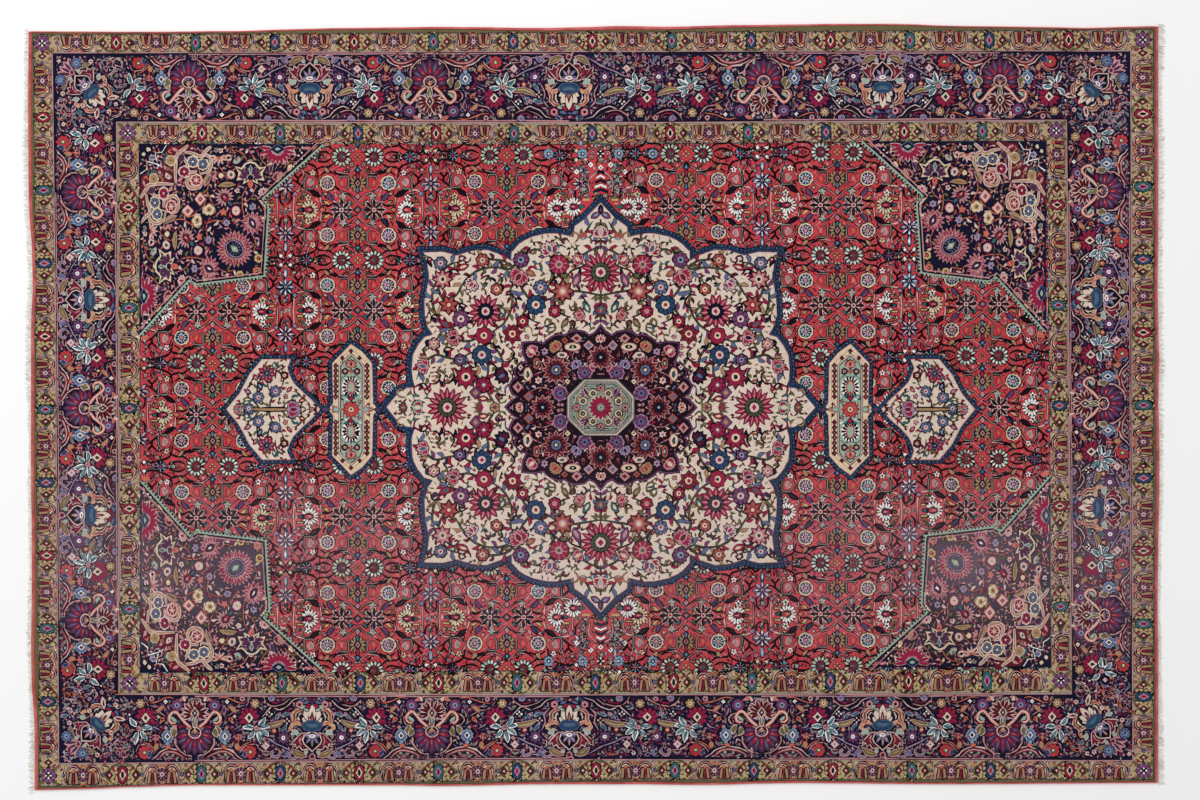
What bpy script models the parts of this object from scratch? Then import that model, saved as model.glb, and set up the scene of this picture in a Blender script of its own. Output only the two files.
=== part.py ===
"""A hand-knotted wool rug that lies flat on its back.

It is made of seven pieces: the knotted body, a red overcast cord along each long side, a red
flat-woven band along each short end, and a short cotton fringe past each band. X runs along the
rug's length and Y across it. Z is up and is 0 on the floor. The origin is the middle of the
floor area that the rug covers, fringes included. All lengths are in metres.
"""

import math
import random

import bmesh
import bpy

MM = 0.001

# Thicknesses, from the floor up
BODY_THICKNESS = 10 * MM  # ground weave and pile together
PILE_SHOULDER = 2 * MM  # how far the rim of the pile is worn back, across and down
CORD_HEIGHT = 8 * MM
BAND_HEIGHT = 5 * MM
FRINGE_HEIGHT = 3 * MM
FRINGE_TIP_HEIGHT = 1.4 * MM

# Widths
BAND_WIDTH = 8.5 * MM  # flat-woven band at each short end
FRINGE_HEADING = 3.5 * MM  # woven strip that holds the roots of the fringe
PIECE_GAP = 0.3 * MM  # between pieces that touch on the real rug

# Fringe: locks of cut warp ends, standing apart from the heading outwards
LOCKS_PER_END = 120
LOCK_SLIT = 1.2 * MM  # gap between two neighbouring roots
LOCK_TIP_SHARE = 0.62  # a lock's width at its tip, as a share of its width at the root
LOCK_LEAN = 2.2 * MM  # most that a tip is combed to one side
TIP_UNEVENNESS = 1.5 * MM  # most that a tip falls short of its neighbours
CORNER_LOCK_LEAN = 13 * MM  # the last lock of each end is combed outwards, past the corner
FRINGE_SEED = 7

STATION_STEP = 62 * MM  # distance between the points of a wavy edge
CORD_END = 7 * MM  # length over which a cord is rounded off at its end
CORD_END_SHARE = 0.55  # width and height of the cord's very end, as a share of the full ones

# Outer edges, uneven as a hand-woven rug's are. Along and out are in millimetres from the middle
# of the rug, and width is the width of the overcast cord there.
#            along    out  width
NORTH_EDGE = (
    (-1503, 999, 4.5),
    (-1180, 998, 4.5),
    (-942, 1000, 5.0),
    (-795, 1005, 5.5),
    (-662, 1008, 6.0),
    (-396, 1011, 7.5),
    (-130, 1008, 9.0),
    (3, 1011, 10.0),
    (90, 1014, 12.0),
    (176, 1011, 9.0),
    (402, 1016, 7.5),
    (668, 1019, 6.0),
    (801, 1019, 5.0),
    (974, 1013, 4.5),
    (1186, 1011, 4.5),
    (1293, 1008, 4.5),
    (1503, 1013, 5.5),
)
SOUTH_EDGE = (
    (-1503, 1019, 5.0),
    (-1327, 1016, 5.0),
    (-1261, 1011, 5.0),
    (-1048, 1006, 5.0),
    (-516, 1006, 6.0),
    (-410, 1008, 6.0),
    (-130, 1003, 6.5),
    (136, 1003, 7.5),
    (269, 1005, 6.5),
    (535, 1000, 7.0),
    (934, 1003, 5.0),
    (1503, 1000, 5.0),
)
#             along    out  fringe: how far its tips reach past the band
WEST_EDGE = (
    (-1019, 1487, 21),
    (-846, 1487, 18),
    (-740, 1495, 11),
    (-633, 1497, 14),
    (-527, 1495, 16),
    (-440, 1495, 9),
    (-314, 1495, 13),
    (-207, 1497, 13),
    (-100, 1497, 9),
    (-20, 1497, 13),
    (80, 1497, 18),
    (218, 1497, 18),
    (324, 1492, 17),
    (431, 1495, 16),
    (537, 1503, 17),
    (700, 1504, 19.5),
    (803, 1505, 15),
    (1000, 1503, 15),
)
EAST_EDGE = (
    (-1000, 1500, 21),
    (-846, 1500, 18),
    (-740, 1500, 14),
    (-633, 1500, 12),
    (-527, 1498, 11),
    (-380, 1500, 12),
    (-207, 1503, 14),
    (-101, 1503, 15),
    (20, 1500, 17),
    (112, 1503, 18),
    (218, 1500, 16),
    (324, 1498, 19),
    (431, 1500, 15),
    (537, 1500, 19),
    (700, 1500, 21),
    (803, 1500, 14),
    (1013, 1500, 22),
)
SIDES = {"north": (NORTH_EDGE, 1), "south": (SOUTH_EDGE, -1)}
ENDS = {"east": (EAST_EDGE, 1), "west": (WEST_EDGE, -1)}
EDGE_COLUMNS = {"along": 0, "out": 1, "width": 2, "fringe": 2}

# Section of the overcast cord, its inner side first: (share of its width, share of its height)
CORD_SECTION = (
    (0.00, 0.00),
    (0.00, 0.82),
    (0.18, 1.00),
    (0.58, 1.00),
    (0.88, 0.74),
    (1.00, 0.38),
    (0.92, 0.00),
)
# Section of the flat-woven band
BAND_SECTION = (
    (0.00, 0.00),
    (0.00, 1.00),
    (0.62, 1.00),
    (0.94, 0.66),
    (1.00, 0.00),
)


def read_edge(table, column, along):
    """The table's value in this column at a place along the edge, eased between its rows."""
    where = along / MM
    pick = EDGE_COLUMNS[column]
    if where <= table[0][0]:
        return table[0][pick] * MM
    for before, after in zip(table, table[1:]):
        if where <= after[0]:
            share = (where - before[0]) / (after[0] - before[0])
            eased = share * share * (3 - 2 * share)
            return (before[pick] + (after[pick] - before[pick]) * eased) * MM
    return table[-1][pick] * MM


def side_edge(side, x, inset):
    """Y of a long side's edge at x. Inset 0 is the cord's outer face, and 1 the body's side."""
    table, sign = SIDES[side]
    width = read_edge(table, "width", x) + PIECE_GAP
    return sign * (read_edge(table, "out", x) - inset * width)


def end_edge(end, y, inset):
    """X of a short end's edge at y. Inset 0 is the band's outer face, and 1 the body's side."""
    table, sign = ENDS[end]
    return sign * (read_edge(table, "out", y) - inset * (BAND_WIDTH + PIECE_GAP))


def corner(side, end, inset):
    """Where a long side's edge meets a short end's edge."""
    y = side_edge(side, 0.0, inset)
    for _ in range(4):
        x = end_edge(end, y, inset)
        y = side_edge(side, x, inset)
    return x, y


def stations(start, end):
    """Start, end, and the whole station steps between them, so that neighbours share places."""
    first, last = math.ceil(start / STATION_STEP), math.floor(end / STATION_STEP)
    clear = STATION_STEP / 5
    between = [i * STATION_STEP for i in range(first, last + 1)]
    return [start, *(place for place in between if start + clear < place < end - clear), end]


def new_material(name, colour, roughness):
    """A plain finish: the object's own colour, matt."""
    material = bpy.data.materials.new(name)
    material.use_nodes = True
    shader = material.node_tree.nodes["Principled BSDF"]
    shader.inputs["Base Color"].default_value = (*colour, 1.0)
    shader.inputs["Roughness"].default_value = roughness
    shader.inputs["Metallic"].default_value = 0.0
    return material


def new_object(name, bm, material):
    """Makes the finished bmesh an object with faces pointing out."""
    bmesh.ops.recalc_face_normals(bm, faces=bm.faces)
    mesh = bpy.data.meshes.new(name)
    bm.to_mesh(mesh)
    bm.free()
    mesh.materials.append(material)
    obj = bpy.data.objects.new(name, mesh)
    bpy.context.scene.collection.objects.link(obj)
    return obj


def slab(bm, outline, height):
    """A slab on the floor with this outline. Returns its top face, whose verts keep the order."""
    floor_face = bm.faces.new([bm.verts.new((x, y, 0.0)) for x, y in outline])
    made = bmesh.ops.extrude_face_region(bm, geom=[floor_face], use_keep_orig=True)["geom"]
    top_verts = [part for part in made if isinstance(part, bmesh.types.BMVert)]
    bmesh.ops.translate(bm, vec=(0.0, 0.0, height), verts=top_verts)
    return next(part for part in made if isinstance(part, bmesh.types.BMFace))


def sweep(name, rings, material):
    """A closed bar through rings of the same number of points, one after another."""
    bm = bmesh.new()
    loops = []
    for ring in rings:
        verts = [bm.verts.new(point) for point in ring]
        loops.append([bm.edges.new((verts[i - 1], verts[i])) for i in range(len(verts))])
    for before, after in zip(loops, loops[1:]):
        bmesh.ops.bridge_loops(bm, edges=before + after)
    bmesh.ops.edgeloop_fill(bm, edges=loops[0])
    bmesh.ops.edgeloop_fill(bm, edges=loops[-1])
    return new_object(name, bm, material)


def body_outline():
    """The body's uneven outline, counter-clockwise from its south-west corner."""
    south_west, south_east = corner("south", "west", 1), corner("south", "east", 1)
    north_west, north_east = corner("north", "west", 1), corner("north", "east", 1)
    south = [(x, side_edge("south", x, 1)) for x in stations(south_west[0], south_east[0])]
    north = [(x, side_edge("north", x, 1)) for x in stations(north_west[0], north_east[0])]
    west = [(end_edge("west", y, 1), y) for y in stations(south_west[1], north_west[1])]
    east = [(end_edge("east", y, 1), y) for y in stations(south_east[1], north_east[1])]
    return south[:-1] + east[:-1] + north[:0:-1] + west[:0:-1]


def make_body(material):
    """The knotted body: a slab with uneven sides and a worn shoulder round the pile."""
    bm = bmesh.new()
    top = slab(bm, body_outline(), BODY_THICKNESS - PILE_SHOULDER)
    bmesh.ops.inset_region(
        bm, faces=[top], thickness=PILE_SHOULDER, depth=PILE_SHOULDER, use_even_offset=True
    )
    return new_object("pile_body", bm, material)


def make_cord(side, material):
    """The red overcast cord along one long side, thicker where the edge rolls over."""
    table, sign = SIDES[side]
    west, east = corner(side, "west", 0)[0], corner(side, "east", 0)[0]
    places = [west, *stations(west + CORD_END, east - CORD_END), east]
    rings = []
    for x in places:
        share = CORD_END_SHARE if x in (west, east) else 1.0
        width = read_edge(table, "width", x)
        inner = abs(side_edge(side, x, 0)) - width
        rings.append(
            [
                (x, sign * (inner + width * share * across), CORD_HEIGHT * share * up)
                for across, up in CORD_SECTION
            ]
        )
    return sweep("side_cord_" + side, rings, material)


def make_band(end, material):
    """The red flat-woven band across one short end, between the two cords."""
    sign = ENDS[end][1]
    middle_x = end_edge(end, 0.0, 0.5)
    south, north = side_edge("south", middle_x, 1), side_edge("north", middle_x, 1)
    rings = []
    for y in stations(south, north):
        inner = abs(end_edge(end, y, 0)) - BAND_WIDTH
        rings.append(
            [
                (sign * (inner + BAND_WIDTH * across), y, BAND_HEIGHT * up)
                for across, up in BAND_SECTION
            ]
        )
    return sweep("end_band_" + end, rings, material)


def make_fringe(end, material):
    """The fringe past one band: a narrow woven heading and flat locks that taper to cut tips."""
    table, sign = ENDS[end]
    chance = random.Random(FRINGE_SEED + sign)
    south, north = corner("south", end, 0)[1], corner("north", end, 0)[1]
    pitch = (north - south) / LOCKS_PER_END
    half_root = (pitch - LOCK_SLIT) / 2
    half_tip = half_root * LOCK_TIP_SHARE

    outline, tips = [], []
    for lock in range(LOCKS_PER_END):
        middle = south + pitch * (lock + 0.5)
        band_face = abs(end_edge(end, middle, 0))
        root = band_face + PIECE_GAP + FRINGE_HEADING
        tip = band_face + read_edge(table, "fringe", middle) - chance.uniform(0.0, TIP_UNEVENNESS)
        lean = chance.uniform(-LOCK_LEAN, LOCK_LEAN)
        if lock in (0, LOCKS_PER_END - 1):
            lean = math.copysign(CORNER_LOCK_LEAN, middle)
        tips.extend((len(outline) + 1, len(outline) + 2))
        outline.append((root, middle - half_root))
        outline.append((tip, middle + lean - half_tip))
        outline.append((tip - chance.uniform(0.0, TIP_UNEVENNESS), middle + lean + half_tip))
        outline.append((root, middle + half_root))
    for y in reversed(stations(south, north)):
        outline.append((abs(end_edge(end, y, 0)) + PIECE_GAP, y))

    bm = bmesh.new()
    top = slab(bm, [(sign * x, y) for x, y in outline], FRINGE_HEIGHT)
    tip_verts = [top.verts[place] for place in tips]
    bmesh.ops.triangulate(bm, faces=bm.faces[:])
    for vert in tip_verts:
        vert.co.z = FRINGE_TIP_HEIGHT
    return new_object("fringe_" + end, bm, material)


def main():
    for obj in list(bpy.data.objects):
        bpy.data.objects.remove(obj)
    pile = new_material("knotted wool", (0.22, 0.075, 0.085), 0.92)
    red_wool = new_material("red wool", (0.55, 0.08, 0.07), 0.85)
    cotton = new_material("undyed cotton", (0.66, 0.62, 0.54), 0.9)
    make_body(pile)
    for side in SIDES:
        make_cord(side, red_wool)
    for end in ENDS:
        make_band(end, red_wool)
        make_fringe(end, cotton)


main()
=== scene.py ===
"""A hand-knotted rug, drawn motif by motif as on a weaver's squared paper and knotted into its pile."""

import functools
import math

import bmesh
import bpy
import numpy as np
from mathutils import Matrix, Vector
from mathutils.geometry import delaunay_2d_cdt


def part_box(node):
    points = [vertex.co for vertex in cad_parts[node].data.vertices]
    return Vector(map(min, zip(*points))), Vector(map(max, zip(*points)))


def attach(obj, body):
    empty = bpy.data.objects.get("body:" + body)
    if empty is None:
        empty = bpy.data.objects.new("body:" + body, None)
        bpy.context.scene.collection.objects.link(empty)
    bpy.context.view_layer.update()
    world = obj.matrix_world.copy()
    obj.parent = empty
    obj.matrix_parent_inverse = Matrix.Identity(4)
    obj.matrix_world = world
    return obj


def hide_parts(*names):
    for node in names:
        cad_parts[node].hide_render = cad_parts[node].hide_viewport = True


bl_info = {
    "name": "Persian rug",
    "version": (1, 0, 0),
    "blender": (4, 5, 0),
    "location": "View3D > Sidebar > Rug",
    "description": "Knots a medallion rug with its border, cords, end bands and fringe",
    "category": "Object",
}

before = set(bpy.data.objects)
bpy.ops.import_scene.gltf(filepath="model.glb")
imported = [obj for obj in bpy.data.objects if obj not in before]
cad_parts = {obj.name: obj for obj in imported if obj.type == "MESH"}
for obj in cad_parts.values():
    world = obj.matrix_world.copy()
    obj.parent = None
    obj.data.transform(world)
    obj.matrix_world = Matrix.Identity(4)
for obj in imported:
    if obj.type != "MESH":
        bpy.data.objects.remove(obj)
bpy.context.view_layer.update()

KNOT = 0.00266  # width of a knot, the square of the weaver's paper
PAPER = 1200 + 800j  # squares of the whole paper, across and down
RUG_MIDDLE = 594 + 407j  # the square that lies on the frame's origin


# Drawing. A motif is a list of (outline, yarn), the later ones on top. An outline holds complex
# numbers, in knots to the right and j knots down.


def ray(turn):
    """The way a clock hand points after turning that many degrees from straight up."""
    return -1j * np.exp(1j * np.radians(turn))


def placed(motif, at=0, turn=0, size=1, across=1, down=1):
    """The motif stretched or, with a negative value, mirrored, then turned clockwise and moved."""
    k = size * np.exp(1j * math.radians(turn))
    return [(at + k * (across * p.real + 1j * down * p.imag), yarn) for p, yarn in motif]


def mirrored(motif, at=0):
    """The motif and its mirror image to the left of that place."""
    return motif + [(2 * np.real(at) - np.conj(p), yarn) for p, yarn in motif]


def oval(across, yarn, at=0, down=None, turn=0):
    """A dot or an oval, as long and wide on each side of its middle as given."""
    down = down or across
    sides = int(6 + 1.2 * max(across, down))
    spin = np.exp(2j * np.pi * (np.arange(sides) + 0.5) / sides)
    return [(at + (across * spin.real + 1j * down * spin.imag) * np.exp(1j * math.radians(turn)), yarn)]


def lobed(count, reach, yarn, turn=0, dent=0.16):
    """A round flower's outline with that many lobes."""
    steps = (1, 0.96, 1 - dent, 0.96) if reach > 5 else (1, 1 - dent)
    part = np.arange(len(steps) * count)
    bulge = np.array(steps)[part % len(steps)]
    return [(reach * bulge * ray(turn + part * 360 / len(part)), yarn)]


def star(count, reach, yarn, at=0, turn=0, inner=0.5):
    """A star with that many points."""
    part = np.arange(2 * count)
    return [(at + reach * np.where(part % 2, inner, 1) * ray(turn + part * 180 / count), yarn)]


def lozenge(across, down, yarn, at=0):
    """A diamond, given by half its width and half its height."""
    return [(at + np.array([-1j * down, across, 1j * down, -across]), yarn)]


def leaf(length, width, yarn, at=0, turn=0, bend=0):
    """A pointed leaf that starts at a place, its middle swung to the right by the bend."""
    along = np.array([0, 0.2, 0.5, 0.8, 1, 0.8, 0.5, 0.2])
    side = np.array([0, 0.7, 1, 0.66, 0, -0.66, -1, -0.7]) * width / 2
    swing = bend * 4 * along * (1 - along)
    return [(at + along * length * ray(turn) + (side + swing) * ray(turn + 90), yarn)]


def fanned(count, reach, width, yarn, spread=360, turn=0, at=0, base=0, droop=0):
    """Petals round a place, shorter towards the sides by the droop."""
    step = spread / (count if spread == 360 else count - 1)
    petals = []
    for k in range(count):
        lean = k * step - (0 if spread == 360 else spread / 2)
        length = reach * (1 - droop * (2 * lean / spread) ** 2) - base
        petals += leaf(length, width, yarn, at + base * ray(turn + lean), turn + lean)
    return petals


def feathered(count, reach, width, rim, heart, spread=360, turn=0, at=0, base=0, droop=0):
    """Petals with a rim in another yarn."""
    return (
        fanned(count, reach, width, rim, spread, turn, at, base, droop)
        + fanned(count, reach - 1.2, width * 0.5, heart, spread, turn, at, base + 0.8, droop)
    )


def smooth(points, steps=4):
    """Points along a soft curve through the given ones."""
    p = np.array([2 * points[0] - points[1], *points, 2 * points[-1] - points[-2]], complex)
    t = np.arange(steps)[:, None] / steps
    a, b, c, d = p[:-3], p[1:-2], p[2:-1], p[3:]
    curve = b + t * (c - a) / 2 + t**2 * (a - 2.5 * b + 2 * c - d / 2) + t**3 * (b - c + (d - a) / 3) * 1.5
    return np.append(curve.T.ravel(), p[-2])


def stroke(points, width, yarn, ends=(1, 1), steps=4):
    """A line of yarn through the points, its ends as wide as their share says."""
    line = smooth(points, steps) if steps > 1 else np.array(points, complex)
    way = np.gradient(line)
    way /= np.maximum(abs(way), 1e-6)
    share = np.interp(np.linspace(0, 1, len(line)), [0, 0.25, 0.75, 1], [ends[0], 1, 1, ends[1]])
    side = 1j * way * width / 2 * np.maximum(share, 0.05)
    return [(np.concatenate([line + side, (line - side)[::-1]]), yarn)]


def vine(points, width, rim, heart, ends=(0.5, 0.3), steps=4):
    """A stem with an edge in another yarn on both sides."""
    return stroke(points, width, rim, ends, steps) + stroke(points, width * 0.45, heart, ends, steps)


def following(points):
    """The point after each one, round a closed outline."""
    return np.concatenate([points[1:], points[:1]])


def area(p):
    """The area in an outline, below zero where it runs the other way round."""
    return (np.conj(p) * following(p)).imag.sum() / 2


def grown(points, by):
    """The outline moved outwards by that many knots."""
    points = np.asarray(points)
    way = following(points) - points
    out = -1j * way / np.maximum(abs(way), 1e-6) * (1 if area(points) > 0 else -1)
    both = out + np.concatenate([out[-1:], out[:-1]])
    return points + 2 * by * both / np.maximum(abs(both) ** 2, 1.2)


def redyed(motif, swap):
    """The motif with some of its yarns changed for others."""
    return [(p, swap.get(yarn, yarn)) for p, yarn in motif]


def fuller(flower, by=1.28):
    """A small flower drawn larger, a large one as it is."""
    size = max(abs(p).max() for p, _ in flower)
    return placed(flower, across=by, down=by) if size < 11 else flower


def bolder(motif, by=0.2):
    """The motif with its ink outlines drawn thicker."""
    return [(grown(p, by) if yarn == "ink" else p, yarn) for p, yarn in motif]


def strung(line, gap, motif):
    """The motif again and again along a line, turned with it."""
    line = np.asarray(line, complex)
    run = np.concatenate([[0], np.cumsum(abs(np.diff(line)))])
    spots = np.arange(gap / 2, run[-1], gap)
    at, ahead = (np.interp(spots + more, run, line) for more in (0, 0.5))
    ways = np.exp(1j * np.angle(ahead - at))
    return [(z + p * way, yarn) for z, way in zip(at, ways) for p, yarn in motif]


def edged(motif, yarn="ink", by=0.6):
    """The motif on an edge of another yarn."""
    return [(grown(p, by), yarn) for p, _ in motif] + motif


# Flowers and leaves that come back all over the rug


def rosette(reach, count, petal, ring, eye, rim="ink", seam="ink"):
    """A round flower: petals parted by seams, then a ring and its eye."""
    seams = []
    for k in range(count):
        way = ray((k + 0.5) * 360 / count)
        seams += stroke([reach * 0.45 * way, reach * 0.9 * way], 0.55, seam, steps=1)
    return (
        lobed(count, reach + 0.9, rim)
        + lobed(count, reach, petal)
        + seams
        + oval(reach * 0.42, ring)
        + oval(reach * 0.22, eye)
    )


def star_flower(reach, count, rim, petal, ring, eye):
    """A flower with pointed petals."""
    return (
        star(count, reach + 1, "ink", inner=0.66)
        + star(count, reach, rim, inner=0.62)
        + fanned(count, reach - 1, reach * 0.34, petal)
        + oval(reach * 0.36, ring)
        + oval(reach * 0.2, eye)
    )


def lotus(reach, petal, rim, heart, turn=0, count=7):
    """A flower seen from the side, open upwards."""
    bloom = (
        feathered(count, reach, reach * 0.42, rim, petal, spread=150, at=1j * reach * 0.45, droop=0.25)
        + leaf(reach * 0.85, reach * 0.55, rim, at=1j * reach * 0.5)
        + leaf(reach * 0.65, reach * 0.34, heart, at=1j * reach * 0.42)
        + oval(reach * 0.16, rim, at=1j * reach * 0.5)
    )
    return placed(edged(bloom, "ink", 0.7), turn=turn)


def bud(length, width, rim, heart, turn=0):
    """A closed flower with its heart in another yarn."""
    return placed(edged(leaf(length, width, rim, at=1j * length / 2))
                  + leaf(length * 0.6, width * 0.5, heart, at=1j * length * 0.35), turn=turn)


def floret(petal, eye, reach=2.2, count=4):
    """A very small flower with deep dents."""
    return edged(lobed(count, reach, petal, dent=0.4)) + oval(reach * 0.35, eye)


def blades(at, *kinds):
    """Plain leaves to choose from, each given by its length, width and yarn."""
    return [leaf(length, width, yarn, at=at) for length, width, yarn in kinds]


def four_dots(dot="white", eye="ink", reach=2.1):
    """Four dots in a diamond, a filler of the dark grounds."""
    dots = []
    for turn in (0, 90, 180, 270):
        dots += oval(1.05, dot, at=reach * ray(turn))
    return oval(reach + 1.4, "ink") + dots + oval(0.6, eye)


def leafy(points, width, stem, leaves, every, length, start=4.0):
    """A stem with leaves on alternate sides, their yarns taken in turn."""
    line = smooth(points, 6)
    run = np.concatenate([[0], np.cumsum(abs(np.diff(line)))])
    motif = vine(points, width, "ink", stem, (0.7, 0.4))
    for k, far in enumerate(np.arange(start, run[-1] - 1, every)):
        at = np.interp(far, run, line.real) + 1j * np.interp(far, run, line.imag)
        ahead = np.interp(far + 1, run, line.real) + 1j * np.interp(far + 1, run, line.imag)
        way = 1 if k % 2 else -1
        turn = math.degrees(np.angle((ahead - at) * 1j)) + 50 * way
        long = length * (0.8 + 0.15 * (k % 3))
        blade = leaf(long, long * 0.4, leaves[k % len(leaves)], at=at, turn=turn, bend=1.3 * way)
        motif += edged(blade, "ink", 0.5)
    return motif


def curled(length, yarn):
    """A small scroll that ends in a leaf."""
    points = [0, length * (0.3 - 0.45j), length * (0.75 - 0.5j), length * (0.95 - 0.1j),
              length * (0.6 + 0.12j)]
    return stroke(points, 2.2, "ink", (0.5, 0.9), 3) + stroke(points, 1.1, yarn, (0.3, 0.9), 3)


def twig(length, stem, leaves, edge="ink"):
    """A bent shoot with a few leaves, about its own middle."""
    points = [-length / 2 + 1j, -length / 6 - 0.5j, length / 6 + 0.5j, length / 2 - 1j]
    motif = stroke(points, 1.1, stem, (0.6, 0.6), 2)
    for k, leaf_yarn in enumerate(leaves):
        at = length * (0.5 - (k + 0.4) / len(leaves))
        turn = (90 if k == 0 else 90 + (62 if k % 2 else -62))
        motif += edged(leaf(length * 0.42, length * 0.19, leaf_yarn, at=at, turn=turn, bend=0.5), edge, 0.4)
    return motif


def between(motif, space, passes, seed):
    """Fillers where a space is still free of the motif, the larger ones first. Each pass holds the
    free distance it needs and its fillers."""
    chance = np.random.default_rng(seed)
    room = Patch(space)
    cells = 2  # to a knot
    x = np.arange(room.low.real, room.high.real, 1 / cells)
    y = np.arange(room.low.imag, room.high.imag, 1 / cells)
    spots = x + 1j * y[:, None]
    busy = ~room.covers(spots.ravel()).reshape(spots.shape)

    def cover(p):
        left, right = np.searchsorted(x, (p.real.min(), p.real.max()))
        top, foot = np.searchsorted(y, (p.imag.min(), p.imag.max()))
        part = spots[top:foot, left:right]
        if part.size:
            busy[top:foot, left:right] |= Patch(p).covers(part.ravel()).reshape(part.shape)

    for p, _ in motif:
        cover(p)
    added = []
    for free, fillers in passes:
        reach = round(free * cells)
        near = busy.copy()
        for k in range(1, reach + 1):
            near[k:] |= busy[:-k]
            near[:-k] |= busy[k:]
        wide = near.copy()
        for k in range(1, reach + 1):
            near[:, k:] |= wide[:, :-k]
            near[:, :-k] |= wide[:, k:]
        for row, column in chance.permutation(np.argwhere(~near)):
            if near[row, column]:
                continue
            near[max(row - reach, 0):row + reach + 1, max(column - reach, 0):column + reach + 1] = True
            filler = fillers[chance.integers(len(fillers))]
            new = placed(filler, spots[row, column], 360 * chance.random(), across=chance.choice((-1, 1)))
            added += new
            for p, _ in new:
                cover(p)
    return added


# Frame lines. Each holds its four corners and the middles of its sides, clockwise from the top
# left corner, because the rug isn't quite square and its sides aren't quite straight.

RUG_EDGE = (32 + 33.3j, 594 + 30.8j, 1154.6 + 28.4j, 1155 + 400j, 1154.6 + 780.9j, 594 + 781.3j, 38.3 + 788j,
            34.8 + 400j)
OUTER_LINE = (53.5 + 54j, 594 + 52.5j, 1129.5 + 52j, 1130.5 + 400j, 1131.5 + 759.5j, 594 + 758.5j,
              60 + 762.5j, 57 + 320j)
INNER_LINE = (117 + 122.5j, 594 + 123j, 1066 + 120.5j, 1069 + 400j, 1071 + 693.5j, 594 + 694.5j,
              119.5 + 694j, 118.5 + 320j)
FIELD_LINE = (140 + 144.5j, 594 + 145j, 1045.5 + 141.5j, 1048.5 + 400j, 1050 + 667j, 594 + 670j, 141 + 672j,
              141 + 320j)
TOP, RIGHT, BOTTOM, LEFT = range(4)


def line_at(line, side, along):
    """How far across a side's line lies, at a place along it."""
    ends = np.array([line[2 * side], line[2 * side + 1], line[(2 * side + 2) % 8]])
    if side in (TOP, BOTTOM):
        order = np.argsort(ends.real)
        return np.interp(along, ends.real[order], ends.imag[order])
    order = np.argsort(ends.imag)
    return np.interp(along, ends.imag[order], ends.real[order])


def in_band(motif, side, along, outer, inner, width, reach=1.0, forward=True):
    """The motif laid along a side: drawn with the outer edge on top, from a place along the side
    to the right, and as wide as the band between two lines."""
    way = reach if forward else -reach
    laid = []
    for p, yarn in motif:
        far = along + way * p.real
        near, off = line_at(outer, side, far), line_at(inner, side, far)
        across = near + (off - near) * p.imag / width
        laid.append((far + 1j * across if side in (TOP, BOTTOM) else across + 1j * far, yarn))
    return laid


def kept_round(motif, at, reach, narrow):
    """The motif at a place, shaped so that the band's stretch leaves it round."""
    return placed(motif, at, across=1 / reach, down=1 / narrow)


# The main border, drawn with its outer edge on top, 69 knots wide and 121 from a fan to a shield

BORDER_WIDTH = 69
HALF_UNIT = 121


def fan_palmette():
    """The large half-open flower, its petals towards the outer edge, with scrolled arms."""
    arch = [3 + 6j, 10 + 7.4j, 16 + 12.4j, 19.4 + 19j, 18.6 + 25.6j, 14.6 + 30j]
    side = stroke(arch, 3.4, "ink", (0.6, 0.6)) + stroke(arch, 1.5, "rose", (0.6, 0.4))
    side += edged(leaf(9, 5, "olive", at=22.5 + 25j, turn=190, bend=1.4), "blush")
    side += edged(leaf(10, 4, "crimson", at=8 + 31j, turn=112, bend=1.6))
    side += edged(leaf(9, 3.4, "mint", at=3.4 + 30j, turn=106, bend=1), "coral")
    arm = [33j, 4.3 + 34.6j, 10.5 + 39.7j, 15.2 + 46j, 19.4 + 50j, 24 + 47.6j, 25.6 + 42.3j, 22.6 + 38.6j,
           18.6 + 39.4j]
    side += stroke(arm, 4.4, "ink", (1, 0.6)) + stroke(arm, 3, "coral", (1, 0.6))
    side += stroke(arm, 1.5, "blush", (1, 0.4))
    side += edged(leaf(7.4, 3.4, "mint", at=17.6 + 40.6j, turn=130, bend=-1), "ink", 0.5)
    side += edged(oval(1.9, "lilac", at=5.2 + 43j, down=2.4), "navy", 1.0)
    side += edged(leaf(6, 3, "blush", at=9.6 + 60j, turn=160), "maroon")
    petals = edged(fanned(11, 24, 7, "plum", spread=184, at=30j, base=6, droop=0.28), "ink", 0.7)
    petals += fanned(11, 22, 2.6, "purple", spread=184, at=30j, base=9, droop=0.3)
    petals += fanned(11, 20, 1, "slate", spread=184, at=30j, base=10, droop=0.3)
    for turn in (-72, -34, 0, 34, 72):
        petals += edged(leaf(9, 3.2, "crimson", at=30j + 8 * ray(turn), turn=turn), "maroon", 0.4)
        petals += leaf(5, 1.2, "coral", at=30j + 9 * ray(turn), turn=turn)
    cup = edged(oval(7.2, "crimson", at=29j, down=6.6)) + oval(6.6, "blush", at=29.2j, down=6)
    cup += oval(5.6, "ink", at=29.4j, down=5)
    for turn in (-70, -35, 0, 35, 70):
        cup += edged(oval(0.9, "navy", at=29.5j + 4.4 * ray(turn)), "lilac", 0.4)
    cup += fanned(5, 4.2, 1.1, "rose", spread=140, at=31j)
    cup += edged(lozenge(2, 1.5, "straw", at=31.4j), "crimson", 0.5)
    comb = edged(fanned(11, 15, 3, "maroon", spread=226, turn=180, at=47.6j, base=3, droop=0.16), "blush",
                 0.8)
    comb += fanned(11, 13, 0.9, "ink", spread=226, turn=180, at=47.6j, base=4, droop=0.16)
    comb += edged(leaf(12, 5, "olive", at=46j), "blush", 0.7) + leaf(8, 1.8, "mint", at=44.6j)
    comb += edged(edged(lozenge(2.6, 4.2, "plum", at=48.6j), "ink", 0.5), "cream", 0.7)
    comb += lozenge(0.8, 1.5, "white", at=48.6j)
    return mirrored(side) + petals + cup + comb


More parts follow.
